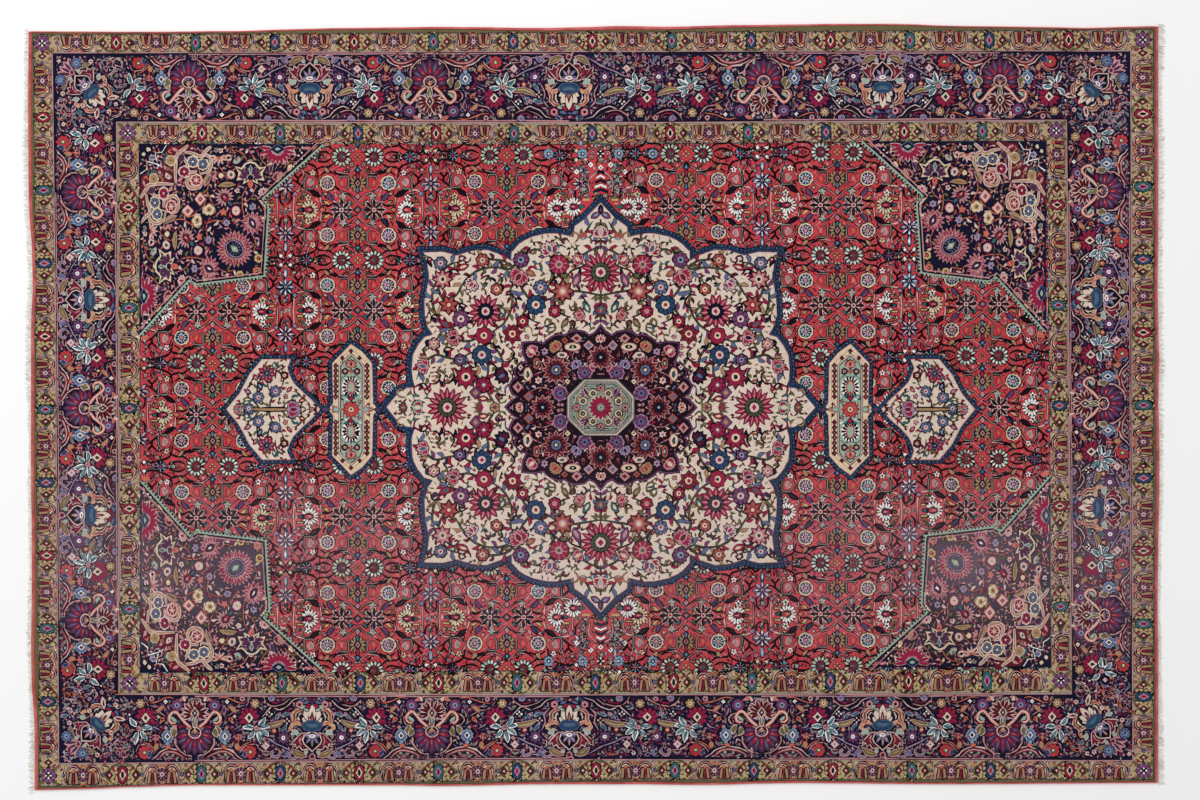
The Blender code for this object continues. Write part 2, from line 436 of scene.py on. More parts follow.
def shield_palmette():
    """The flower between the fans: five leaves under a bowl and a bulb in an onion-shaped outline."""
    side = edged(leaf(16, 6, "olive", at=6 + 4.6j, turn=118, bend=-1.6), "rose", 0.8)
    side += leaf(12, 1.4, "tan", at=8 + 5.6j, turn=118, bend=-1.4)
    side += edged(oval(1.7, "mint", at=6.2 + 9j, down=2.6), "rose")
    wing = np.array([2 + 28.4j, 10.8 + 27.6j, 16.5 + 22j, 20.6 + 17j, 16.4 + 17.6j, 15.4 + 13.6j, 12.6 + 16j,
                     10 + 11.8j, 5 + 12j])
    side += [(grown(wing, 1.4), "ink"), (grown(wing, 0.8), "blush"), (wing, "maroon")]
    side += stroke([10 + 15j, 12.6 + 20j, 10.6 + 25j], 1, "rose", (0.4, 0.4))
    side += stroke([14.6 + 17j, 14.4 + 21j, 12 + 25j], 1, "crimson")
    side += edged(leaf(7.4, 4.6, "mint", at=14.6 + 31j, turn=58), "blush")
    scroll = [10 + 36.6j, 15 + 38.6j, 20 + 36.6j, 21.4 + 33j, 19 + 31.6j]
    curl = [19.6 + 38.6j, 17.6 + 43j, 18 + 47j, 14.4 + 51.2j, 9.4 + 52j]
    for line, heart in ((scroll, "straw"), (curl, "moss")):
        side += stroke(line, 5.4, "ink", (0.8, 0.5)) + stroke(line, 4, "blush", (0.8, 0.5))
        side += stroke(line, 2.8, "coral", (0.8, 0.5)) + stroke(line, 1, heart, (0.7, 0.4))
    side += stroke([12.6 + 41j, 13.6 + 45j, 11.4 + 49j], 1.4, "cream", (0.4, 0.6))
    side += edged(leaf(6.4, 3.2, "crimson", at=1.6 + 57.6j, turn=48), "ink", 0.5)
    side += edged(leaf(7, 3, "slate", at=2.6 + 60.6j, turn=70), "ink", 0.5)
    side += edged(leaf(6, 2.8, "mint", at=6.6 + 56j, turn=60), "ink", 0.5)
    onion = np.array([10.4j, 3.6 + 13.8j, 7.6 + 17.4j, 9.2 + 21.5j, 7.6 + 25.7j, 3 + 28.2j])
    onion = np.concatenate([onion, -np.conj(onion[:0:-1])])
    bulb = (
        stroke([4 + 0j, 10.4j], 1.4, "rose", steps=1)
        + edged(edged(oval(2.2, "maroon", at=4.6j), "rose", 1), "ink", 0.4)
    )
    bulb += [(grown(onion, 1.7), "ink"), (grown(onion, 1.1), "blush"), (onion, "ink")]
    bulb += fanned(5, 12, 3, "slate", spread=150, at=26j, base=2, droop=0.4)
    bulb += fanned(4, 9.4, 2.2, "lilac", spread=190, at=26j, base=2)
    bulb += leaf(9, 1.2, "rose", at=23j) + edged(oval(3.4, "white", at=25.4j, down=2.1), "ink", 0.4)
    bulb += oval(2, "crimson", at=25.4j, down=0.9)
    lobes = []
    for turn, long in ((112, 11), (-112, 11), (145, 14), (-145, 14), (180, 18)):
        lobes += edged(leaf(long, 7, "ivory", at=39j, turn=turn), "ink", 0.7)
        lobes += placed(leaf(long - 4.6, 4, "maroon", at=1.8j) + leaf(long - 7, 1.2, "rose", at=3j), 39j,
                        turn)
    cup = edged(edged(lobed(9, 5, "blue", dent=0.1), "slate", 0.5), "ink", 0.4)
    cup += fanned(9, 4, 1.2, "teal", spread=200, at=1.6j) + fanned(9, 3.4, 0.5, "slate", spread=200, at=1.6j)
    return mirrored(side) + bulb + lobes + placed(cup, at=35.4j, across=2.05, down=1.1)


def leaf_spray():
    """Broad teal leaves with white edges round a pink ring."""
    motif = []
    for turn, long in ((-42, 11), (14, 13.6), (58, 13), (97, 12), (140, 12), (268, 11.6)):
        way = 1 if turn < 120 else -1
        motif += edged(leaf(long, 5.4, "white", at=2.2 * ray(turn), turn=turn, bend=way), "ink", 0.7)
        motif += leaf(long - 1.6, 3.6, "teal", at=3 * ray(turn), turn=turn, bend=way)
        motif += leaf(long - 4, 1.1, "sky", at=4.4 * ray(turn), turn=turn, bend=way)
    return motif + oval(3.3, "ink") + lobed(6, 2.8, "rose") + oval(1.2, "purple")


def crimson_fan():
    """The round flower seen from the side behind the leaf spray, with its cream diamond."""
    motif = edged(feathered(8, 11, 4.6, "crimson", "crimson", spread=230, turn=215, base=3), "navy", 1.2)
    motif += fanned(7, 9, 1.2, "navy", spread=200, turn=215, base=4)
    motif += lozenge(5.2, 5.8, "ink") + lozenge(4.4, 5, "ivory")
    return motif + lozenge(2.2, 2.8, "ink") + lozenge(1, 1.4, "maroon")


def comma():
    """A curled bud on a forked stem."""
    curl = [0, 3 - 4j, 1 - 8j, -4 - 8.5j, -6 - 5j, -3.5 - 3j]
    return stroke(curl, 4.4, "ink", (0.7, 0.8)) + vine(curl, 3, "rose", "slate", (0.4, 0.9))


def cypress():
    """A small upright tree of petals."""
    motif = leaf(15, 6, "ink", at=7.4j) + leaf(13, 4.4, "maroon", at=6.5j)
    return motif + feathered(5, 6, 2.4, "rose", "maroon", spread=120, at=4j) + leaf(8, 1.4, "coral", at=4j)


def diamond_rosette():
    """A pale blue-grey flower in a diamond outline."""
    motif = edged(lobed(10, 6.6, "sky", dent=0.2), "ink", 1.0) + lobed(10, 5.2, "slate", dent=0.2)
    motif += edged(leaf(6, 4, "sky", at=-4j), "ink", 0.5)
    return motif + lozenge(3, 3.8, "white") + lozenge(1.8, 2.4, "ink") + oval(0.6, "rose")


PURPLE_ROSETTE = rosette(6.2, 8, "purple", "sky", "ink", rim="navy", seam="crimson")
LILAC_STAR = star(8, 7.4, "navy", inner=0.7) + star(8, 6.6, "purple", inner=0.62)
LILAC_STAR += oval(3, "navy") + oval(2.2, "white") + oval(1, "slate")
RED_ROSETTE = rosette(6.4, 9, "madder", "moss", "cream", seam="crimson")
OLIVE_ROSETTE = rosette(4.8, 7, "tan", "cream", "crimson", seam="maroon")


def scroll(rim, heart):
    """A small loose bough with a bud at its end."""
    bough = vine([-5.4 + 2.4j, -1.6 + 3.4j, 2.4 + 1.8j, 4.4 - 1.4j], 2, rim, heart, (0.3, 0.6))
    return bough + edged(leaf(5, 2.8, heart, at=4 - 1j, turn=10), rim)


BORDER_FILLERS = (
    (4.4, [scroll("rose", "maroon"), scroll("lilac", "ink"), scroll("blush", "plum"), scroll("coral", "ink"),
           scroll("rose", "teal")]),
    (3, [twig(10, "rose", ("lilac", "teal", "blush")), twig(10, "maroon", ("rose", "pewter", "lilac")),
         floret("lilac", "crimson", 2.6, 5), floret("blush", "navy", 2.6),
         twig(10, "lilac", ("crimson", "mint", "rose")), edged(leaf(8, 3, "teal", at=4j), "lilac"),
         edged(leaf(8, 3, "plum", at=4j), "rose")]),
    (2, [twig(7, "rose", ("crimson", "pewter")), twig(7, "maroon", ("rose", "lilac")),
         twig(7, "crimson", ("mint", "purple")), floret("rose", "ink", 1.6),
         edged(leaf(5.6, 2, "pewter", at=2.6j), "maroon", 0.5)]),
    (1.3,
     blades(1.8j, (4, 1.4, "rose"), (4, 1.3, "lilac"), (4, 1.4, "maroon"), (3.8, 1.3, "pewter"),
            (4, 1.4, "crimson"), (4, 1.3, "purple"))),
    (1,
     blades(1.6j, (3.4, 1.1, "rose"), (3.4, 1.1, "maroon"), (3.4, 1.1, "slate"), (3.4, 1.1, "pewter"),
            (3.4, 1.1, "plum"))),
)


@functools.cache
def border_half(reach, narrow):
    """From the middle of a fan to the middle of the next shield."""
    fixed = [
        (20.4 + 57.8j, PURPLE_ROSETTE),
        (31 + 26j, diamond_rosette()),
        (45 + 23.5j, cypress()),
        (43.7 + 15.6j, edged(leaf(6, 4, "tan", at=-3j, turn=180), "coral")),
        (56 + 45j, crimson_fan()),
        (63.6 + 34.2j, leaf_spray()),
        (57.2 + 9.9j, RED_ROSETTE),
        (62 + 59.6j, OLIVE_ROSETTE),
        (91.3 + 24.2j, LILAC_STAR),
        (77 + 48.5j, four_dots()),
        (95 + 41.6j, four_dots("blush")),
        (85 + 14j, comma()),
        (103 + 12j, comma()),
        (79.2 + 64.4j, lotus(5.4, "slate", "lilac", "purple")),
        (33.3 + 61.5j, floret("white", "maroon", 2.2)),
        (37 + 43.3j, floret("coral", "ink", 3, 5) + placed(floret("cream", "moss", 2), 4 + 3j)),
        (38.6 + 53.6j, edged(leaf(10, 4, "tan", at=-4 + 3j, turn=50, bend=1.4), "crimson")),
        (73.1 + 16j, edged(lobed(4, 3.8, "blush", dent=0.4), "rose") + oval(1.2, "slate")),
        (71.6 + 23j, floret("rose", "crimson", 2.4)),
        (81.8 + 31.6j, floret("coral", "cream", 2.8, 5)),
        (23 + 32j, edged(leaf(9, 5, "olive", at=-1 + 4j, turn=20, bend=1), "blush")),
        (24.6 + 7.2j, oval(1.7, "pewter", down=1.2)),
        (31.5 + 7.6j, oval(1.7, "mint", down=1.2)),
        (30 + 15.4j, edged(oval(2.4, "coral", down=1.6), "maroon")),
        (9 + 10.4j, edged(leaf(6, 3.4, "mint", at=3j, turn=-15), "ink", 0.5)),
        (16 + 19.6j, edged(leaf(6, 3.2, "pewter", at=3j, turn=-10), "ink", 0.5)),
        (50 + 8j, edged(leaf(7, 3.6, "blue", at=3j, turn=20), "lilac", 0.5)),
        (96 + 7j, edged(leaf(7, 3.4, "slate", at=3j, turn=-30), "lilac", 0.5)),
        (105 + 29j, edged(leaf(8, 3.6, "mint", at=-2 + 3j, turn=40), "lilac")),
        (108 + 58.6j, edged(lobed(6, 3.6, "rose"), "crimson", 0.8) + oval(1.6, "ink")),
        (112 + 52j, edged(leaf(7, 3.2, "mint", at=3j, turn=60), "maroon", 0.5)),
        (114 + 63.6j, edged(leaf(7, 3.2, "blue", at=3j, turn=-50), "lilac", 0.5)),
        (49 + 64.6j, edged(oval(2.6, "rose")) + oval(1.3, "navy")),
        (12 + 64j, edged(leaf(8, 3, "coral", at=-3 + 2j, turn=70), "rose")),
        (33 + 34.6j, floret("rose", "teal", 2.2)),
    ]
    free = []
    for width, rim, heart, points in (
        (3, "ink", "blush",
         [7 + 4.3j, 14.2 + 9.5j, 22 + 13j, 30.7 + 13.8j, 39.3 + 10.4j, 44.5 + 5.2j, 49 + 2.6j]),
        (4.6, "maroon", "rose", [13 + 5j, 22 + 9.6j, 30.7 + 10.6j, 37 + 8j, 41 + 3.6j]),
        (3, "ink", "blush", [9 + 8j, 13 + 13j, 16 + 17.3j, 21 + 21.6j, 22.6 + 17j]),
        (2.6, "ink", "coral", [44.5 + 10j, 48 + 15j, 53 + 18.6j, 58 + 20j]),
        (2.6, "ink", "rose", [46 + 8j, 50 + 14j, 56 + 17.6j, 64 + 17j, 67 + 11j]),
        (3.4, "ink", "rose",
         [11.6 + 39.8j, 17.7 + 47.6j, 24.6 + 48.8j, 28.6 + 43.3j, 25.5 + 37.2j, 18.5 + 37.6j]),
        (2.4, "ink", "lilac", [66 + 25j, 76 + 23j, 84 + 18j, 95 + 13j, 107 + 4j]),
        (2.6, "ink", "rose", [69 + 4j, 77 + 3j, 84 + 6j, 92 + 5j, 100 + 3j]),
        (2.4, "ink", "rose", [63 + 16j, 70 + 11j, 78 + 10j]),
        (3.4, "ink", "blush",
         [69.7 + 46j, 74 + 51j, 79.2 + 56.3j, 87 + 53j, 95.7 + 57j, 101 + 63j, 109 + 66j]),
        (3, "ink", "rose", [70.5 + 68j, 74 + 60.6j, 81 + 56.8j, 91.3 + 59.4j, 98.3 + 65j]),
        (2.2, "ink", "crimson", [75 + 66j, 79 + 61j, 86 + 60.6j, 91 + 66j]),
        (2.6, "ink", "rose", [34 + 47j, 42 + 52j, 50 + 54j, 56 + 62j]),
        (2.6, "ink", "coral", [24 + 65j, 32 + 66j, 44 + 61j, 52 + 60j]),
        (2.4, "ink", "rose", [96 + 30j, 100 + 40j, 99 + 48j, 104 + 55j]),
        (2.2, "ink", "lilac", [40 + 33j, 46 + 36j, 48 + 42j, 44 + 47j]),
        (2.2, "ink", "crimson", [36 + 20j, 40 + 27j, 38 + 33j, 33 + 39j]),
        (2.2, "ink", "rose", [4 + 62j, 10 + 58j, 12 + 50j]),
    ):
        free += stroke(points, width, rim, (0.5, 0.5))
        free += stroke(points, 1 if width < 4 else 1.4, heart, (0.4, 0.4))
    free += edged(leaf(25, 5, "olive", at=69 + 38.5j, turn=102, bend=-4), "rose", 0.8)
    free += leaf(21, 1.3, "straw", at=71 + 38.4j, turn=102, bend=-4)
    free += edged(leaf(19, 6, "maroon", at=101 + 15j, turn=128, bend=2), "blush", 0.7)
    free += stroke([67j, 40 + 67.5j, 80 + 67j, 121 + 67.5j], 1.2, "rose")
    free += stroke([1.2j, 40 + 1.2j, 80 + 1.2j, 121 + 1.2j], 0.9, "rose")
    motif = free
    for at, flower in fixed:
        motif += kept_round(flower, at, reach, narrow)
    if (reach, narrow) == (1, 1):
        busy = motif + fan_palmette() + placed(shield_palmette(), HALF_UNIT)
        return motif + between(busy, np.array([0, 121, 121 + 69j, 69j]), BORDER_FILLERS, 5)
    return motif + border_half(1, 1)[len(motif):]


# Where the fans and shields stand along each side
FANS = {
    TOP: (189, 430, 763.5, 999.5),
    BOTTOM: (195.3, 432.1, 761.4, 1002.4),
    LEFT: (192.5, 408, 620),
    RIGHT: (191.2, 403.4, 614.9),
}
SHIELDS = {
    TOP: (310, 569, 882.3),
    BOTTOM: (312.5, 569.2, 882.2),
    LEFT: (300, 515),
    RIGHT: (298.2, 507.6),
}
LONG_GAP = 160  # knots from a fan to a shield, too far to be one stretched half unit
CORNER_GAP = 106  # knots from the last fan to where the next shield would be


def main_border():
    """The fans and shields along the four sides and what lies between them."""
    motif = []
    for side in (TOP, RIGHT, BOTTOM, LEFT):
        ends = OUTER_LINE[2 * side], OUTER_LINE[(2 * side + 2) % 8]
        middle = sum(z.real if side in (TOP, BOTTOM) else z.imag for z in ends) / 2
        width = abs(line_at(OUTER_LINE, side, middle) - line_at(INNER_LINE, side, middle))
        narrow = width / BORDER_WIDTH
        for at in FANS[side]:
            for way in (-1, 1):
                gaps = [abs(shield - at) for shield in SHIELDS[side] if (shield - at) * way > 0]
                if not gaps:
                    reach, until = CORNER_GAP / HALF_UNIT, 76
                elif min(gaps) > LONG_GAP:
                    reach, until = 1.15, 99
                else:
                    reach, until = min(gaps) / HALF_UNIT, HALF_UNIT + 1
                half = [shape for shape in border_half(reach, narrow) if shape[0].real.max() < until]
                motif += in_band(half, side, at, OUTER_LINE, INNER_LINE, BORDER_WIDTH, reach, way > 0)
    for side in (TOP, BOTTOM):
        motif += added_spray(side)
    for side in (TOP, RIGHT, BOTTOM, LEFT):
        width = abs(line_at(OUTER_LINE, side, 400) - line_at(INNER_LINE, side, 400))
        narrow = width / BORDER_WIDTH
        for place, flower in ((FANS, fan_palmette()), (SHIELDS, shield_palmette())):
            for at in place[side]:
                shaped = placed(flower, down=1 / narrow**0.5)
                motif += in_band(shaped, side, at, OUTER_LINE, INNER_LINE, BORDER_WIDTH)
    return motif


def added_spray(side):
    """The spray that fills the longer gap beside the middle shield of a long side."""
    reach = 1.2
    half = [shape for shape in border_half(reach, 1) if shape[0].real.min() > 46
            and shape[0].imag.mean() > 14]
    half = [(HALF_UNIT - p.real + 1j * p.imag, yarn) for p, yarn in half]
    return in_band(half, side, SHIELDS[side][1], OUTER_LINE, INNER_LINE, BORDER_WIDTH, reach)


def border_corner():
    """The diagonal shield and its leaves, in knots from the corner of the outer line."""
    shield = placed(shield_palmette(), at=16 + 16j, turn=-45, size=0.9)
    motif = edged(feathered(7, 20, 6, "rose", "plum", spread=110, turn=-45, at=24 + 22j, base=5))
    motif += shield
    for at in (23.3 + 9.5j, 7.2 + 26.5j):
        motif += placed(rosette(5.6, 9, "slate", "sky", "ink", rim="navy", seam="navy"), at)
    for at, turn in ((44 + 60j, 190), (60 + 44j, 80)):
        motif += placed(bud(13, 5, "blush", "maroon", turn), at)
    for at in (10 + 40j, 38 + 8j, 56 + 58j, 30 + 52j, 52 + 30j):
        motif += placed(floret("blush", "crimson", 3, 6), at)
    return motif


# The guard borders on both sides of the main border, 22 knots wide, one unit from oval to oval

GUARD_WIDTH = 22
GUARD_UNIT = 82.3

GUARD_FILLERS = (
    (1.9, [twig(6, "ink", ("maroon", "cream")), twig(6, "ink", ("coral", "cream")),
           twig(6, "maroon", ("blush", "ink")), floret("coral", "ink", 1.4), floret("cream", "maroon", 1.4)]),
    (1.2,
     blades(1.7j, (3.6, 1.6, "maroon"), (3.4, 1.5, "ink"), (3.4, 1.6, "ink"), (3.4, 1.3, "rose"),
            (3.4, 1.4, "moss"), (3.4, 1.3, "cream"))),
)


def guard_oval(petal, ring, heart):
    """The pointed oval that each unit of a guard border starts with."""
    motif = edged(fanned(8, 8.6, 3.4, "straw", turn=22.5, base=2), "ink", 0.5)
    motif += edged(oval(4.8, petal, down=7.6), "ink", 0.8) + edged(lozenge(3.4, 5.4, ring), "ink", 0.5)
    return motif + oval(1.6, heart, down=3.2) + oval(0.7, "ink", down=1.4)


@functools.cache
def guard_half():
    """From an oval to the next one."""
    part = []
    for points, width, rim, heart in (
        ([1 + 1j, 7 + 2j, 13 + 6j, 19 + 11j, 13 + 16j, 7 + 20j, 1 + 21j], 2, "ink", "olive"),
        ([24 + 3j, 23.4 + 12j, 27 + 17.6j, 31 + 19j, 35 + 17.6j, 38.6 + 12j, 38 + 3j], 2.8, "ink", "rose"),
        ([26.6 + 2j, 26 + 11j, 28.6 + 15.6j, 31 + 16.6j, 33.4 + 15.6j, 36 + 11j, 35.4 + 2j], 1.8, "maroon",
         "cream"),
        ([20 + 2j, 22 + 8j, 20.6 + 14j, 22 + 20j], 2, "ink", "rose"),
        ([34 + 21j, 38 + 18j, 41 + 20j], 2, "ink", "coral"),
        ([37 + 1.6j, 41 + 3.4j], 2, "ink", "coral"),
    ):
        part += stroke(points, width, rim, (0.8, 0.8)) + stroke(points, 1, heart, (0.8, 0.8))
    for at, flower in (
        (13.6 + 11j, edged(lozenge(3.4, 3.8, "maroon")) + lozenge(1.3, 1.5, "blush")),
        (8.4 + 5.4j, edged(leaf(5, 2.2, "straw", at=2j, turn=40), "maroon", 0.4)),
        (8.4 + 16.6j, edged(leaf(5, 2.2, "crimson", at=-2j, turn=140), "ink", 0.4)),
        (20.4 + 11j, edged(oval(1.4, "slate"), "ink", 0.5)),
        (31 + 9j, edged([(np.array([-0.7 - 6j, 0.7 - 6j, 0.7 + 6j, -0.7 + 6j]), "crimson")])),
        (27.2 + 8.4j, edged([(np.array([-1.3 - 5j, 1.3 - 5j, 2.4 + 5j, 0.2 + 5j]), "tan")], "ink", 0.9)),
        (34.8 + 8.4j, edged([(np.array([-1.3 - 5j, 1.3 - 5j, -0.2 + 5j, -2.4 + 5j]), "tan")], "ink", 0.9)),
        (31 + 14.4j, edged(lozenge(2.4, 1.8, "coral"), "ink", 0.5)),
    ):
        part += placed(flower, at)
    unit = (
        mirrored(part, GUARD_UNIT / 2)
        + placed(rosette(5.4, 8, "plum", "blush", "ink", rim="maroon", seam="rose"), 41.15 + 11j)
    )
    space = np.array([2 + 2.6j, GUARD_UNIT + 2.6j, GUARD_UNIT + 19.4j, 2 + 19.4j])
    return unit + between(unit, space, GUARD_FILLERS, 6)


def guard(outer, inner):
    """A whole guard border, its ovals crimson, teal and blue in turn, a rosette on each corner."""
    motif = []
    for side in (TOP, RIGHT, BOTTOM, LEFT):
        first = outer[2 * side] + inner[2 * side]
        last = outer[(2 * side + 2) % 8] + inner[(2 * side + 2) % 8]
        start, stop = ((first.real, last.real) if side in (TOP, BOTTOM) else (first.imag, last.imag))
        start, stop = sorted((start / 2, stop / 2))
        lead = 74
        count = round((stop - start - 2 * lead) / GUARD_UNIT / 2) * 2
        stations = np.linspace(start + lead, stop - lead, count + 1)
        reach = (stations[1] - stations[0]) / GUARD_UNIT
        half = guard_half()
        ends = [s for s in half if s[0].real.max() < (lead - 7) / reach]
        for at in stations[:-1]:
            motif += in_band(half, side, at, outer, inner, GUARD_WIDTH, reach)
        motif += in_band(ends, side, stations[0], outer, inner, GUARD_WIDTH, reach, False)
        motif += in_band(ends, side, stations[-1], outer, inner, GUARD_WIDTH, reach)
        for k, at in enumerate(stations):
            petal, ring, heart = (("crimson", "cream", "navy"), ("teal", "lilac", "crimson"),
                                  ("blue", "lilac", "madder"))[k % 3]
            motif += in_band(placed(guard_oval(petal, ring, heart), 11j), side, at, outer, inner,
                             GUARD_WIDTH)
    for k in (0, 2, 4, 6):
        flower = (
            rosette(8, 8, "purple", "cream", "moss", seam="lilac")
            + four_dots("white", "moss", 2.4)
        )
        place = (outer[k] + inner[k]) / 2
        spray = [s for turn in range(45, 360, 90)
                 for s in edged(leaf(7, 2.6, "olive", at=7 * ray(turn), turn=turn), "ink", 0.4)]
        spray += [s for turn in range(0, 360, 30) for s in oval(0.8, "maroon", at=9.6 * ray(turn))]
        motif += placed(flower + spray, place)
    return motif


# The field's lattice of flowers. A quarter of its repeat is drawn, from the node where a column of
# lozenges crosses a row of mint palmettes to the middle of a star row.

CELL = 73.5 + 51.4j
LOZENGE_COLUMNS = (67, 213, 358, 507, 686, 837, 982, 1128)
STAR_COLUMNS = (140, 286, 431, 581, 615, 762, 909, 1055)
MINT_ROWS = (154.7, 258, 359.5, 462.5, 565, 668)
STAR_ROWS = (103, 207.6, 308, 411, 514, 616, 720)


def square_hook(lining, petal):
    """The angular bracket at the rosette, closed above and on its left, round a curled leaf."""
    motif = edged(leaf(9.4, 7, lining, at=-1 + 5j, turn=8, bend=1.4), "maroon")
    motif += leaf(6, 2.4, petal, at=-0.4 + 3.4j, turn=6, bend=1)
    motif += leaf(4.4, 1.5, "olive", at=3.4 + 4.6j, turn=-20)
    frame_line = [3.8 - 3.6j, 2.4 - 6.4j, -4.6 - 6.4j, -5.8 - 5j, -5.9 + 3.6j, -3.4 + 6.4j]
    motif += stroke([0 - 6.8j, 4 - 8j, 9 - 12j], 1.7, "ink", (0.8, 0.3))
    return motif + stroke(frame_line, 2.5, "ink", steps=1) + stroke(frame_line, 1, "pewter", steps=1)


def mint_palmette():
    """The flame-leaved palmette of the rows, open to the right."""
    flames = fanned(13, 10.4, 2.7, "mint", spread=320, turn=90, base=4.4)
    motif = (
        oval(7.6, "ink") + edged(flames, "ink", 0.7)
        + fanned(13, 9.4, 0.9, "white", spread=320, turn=90, base=5.6)
    )
    motif += oval(4.9, "ink", down=5.5) + oval(4, "crimson", down=4.7) + oval(3.2, "maroon", down=3.9)
    return motif + lozenge(2.2, 3, "moss") + oval(0.9, "rose", at=-2)


def comb_palmette(turn=-90):
    """A wheel of white teeth round a crimson heart, open towards its teal tip."""
    motif = (
        oval(6.5, "maroon", down=7.4)
        + edged(fanned(13, 9.8, 2.1, "white", spread=290, base=3.4), "ink", 0.5)
    )
    motif += oval(3, "ink", down=6, at=1.6j) + oval(2.2, "crimson", down=5, at=1.6j)
    motif += oval(1, "rose", down=2)
    motif += edged(leaf(6.4, 3.4, "teal", at=5j, turn=180))
    return placed(motif, turn=turn)


def ring_rosette():
    """The scalloped rosette between the hooks."""
    return (
        lobed(10, 8.7, "ink", dent=0.12) + lobed(10, 7.9, "cream", dent=0.12)
        + lobed(10, 6.5, "navy", dent=0.12)
        + fanned(10, 6.4, 1.8, "lilac", base=2) + fanned(10, 4.4, 0.8, "white", base=2)
        + oval(2.3, "ink") + oval(1.7, "rose")
    )


def cross_of_squares():
    """Four white squares on a rose cross."""
    motif = stroke([-8 - 8j, 8 + 8j], 3, "ink", steps=1) + stroke([8 - 8j, -8 + 8j], 3, "ink", steps=1)
    motif += stroke([-7 - 7j, 7 + 7j], 1.2, "rose", steps=1)
    motif += stroke([7 - 7j, -7 + 7j], 1.2, "rose", steps=1)
    for turn in (45, 135, 225, 315):
        motif += edged(lozenge(2.1, 2.1, "white", at=6.4 * ray(turn)))
    return motif + edged(lozenge(2.2, 2.2, "crimson"), "ink", 0.5)


def field_star():
    """The flower with eight outlined petals and smaller ones between."""
    return (
        edged(fanned(8, 9.4, 2.2, "plum", turn=22.5, base=3), "rose", 0.5)
        + edged(edged(fanned(8, 11.4, 3.2, "ink", base=2), "blush", 0.7), "ink", 0.4)
        + fanned(8, 8.4, 1.1, "maroon", base=3)
        + oval(3.2, "ink") + lobed(6, 2.6, "blush") + oval(1.5, "crimson")
    )


def blue_star():
    """The pointed flower of the columns between."""
    return (
        edged(fanned(8, 9.4, 2.1, "lilac", base=2), "navy", 0.9) + fanned(8, 8, 0.9, "white", base=4)
        + oval(2.6, "navy") + oval(1.5, "blush") + oval(0.7, "ink")
    )


def lozenge_palmette():
    """The dark upright palmette on the crossings."""
    half = (
        fanned(5, 8.4, 2, "tan", spread=120, turn=90, base=3.2)
        + fanned(4, 7.6, 1.2, "moss", spread=96, turn=90, base=3.4)
    )
    motif = edged(lozenge(8, 10.4, "maroon"), "ink", 0.7) + placed(edged(half, "ink", 0.4), down=1.1)
    motif += placed(edged(half, "ink", 0.4), across=-1, down=1.1)
    motif += edged(leaf(7.4, 3, "crimson", at=-3j)) + edged(leaf(7.4, 3, "slate", at=3j, turn=180))
    return motif + lozenge(3.4, 4.4, "ink") + lozenge(2.4, 3.4, "rose") + lozenge(1.4, 2.2, "maroon")


FIELD_FILLERS = (
    (2.7, [twig(8, "ink", ("olive", "blush", "teal")), twig(8, "navy", ("mint", "rose", "slate")),
           floret("mint", "crimson", 2.4, 5), floret("rose", "navy", 2.4, 6),
           twig(8, "ink", ("pewter", "tan"))]),
    (1.9, [twig(5.6, "ink", ("teal", "rose")), twig(5.6, "ink", ("olive", "blush")),
           floret("blush", "maroon", 1.5), edged(leaf(5.4, 2, "rose", at=2.4j), "ink", 0.4),
           leaf(5, 2, "navy", at=2.4j), edged(leaf(5, 1.8, "mint", at=2.4j), "ink", 0.4)]),
    (1.4,
     blades(1.6j, (3.6, 1.5, "ink"), (3.4, 1.4, "moss"), (3.4, 1.3, "rose"), (3.4, 1.4, "maroon"),
            (3.6, 1.5, "navy"), (3.4, 1.3, "crimson"), (3.4, 1.3, "mint"), (3.4, 1.4, "teal"))),
)
HALO_FILLERS = (
    (2.2, [twig(6, "maroon", ("cream", "mint", "rose")), twig(6, "moss", ("blush", "tan")),
           floret("blush", "moss", 1.9, 5)]),
    (1.4,
     blades(1.6j, (3.6, 1.3, "blush"), (3.6, 1.3, "cream"), (3.4, 1.3, "mint"), (3.4, 1.3, "moss"),
            (3.4, 1.3, "rose"))),
)


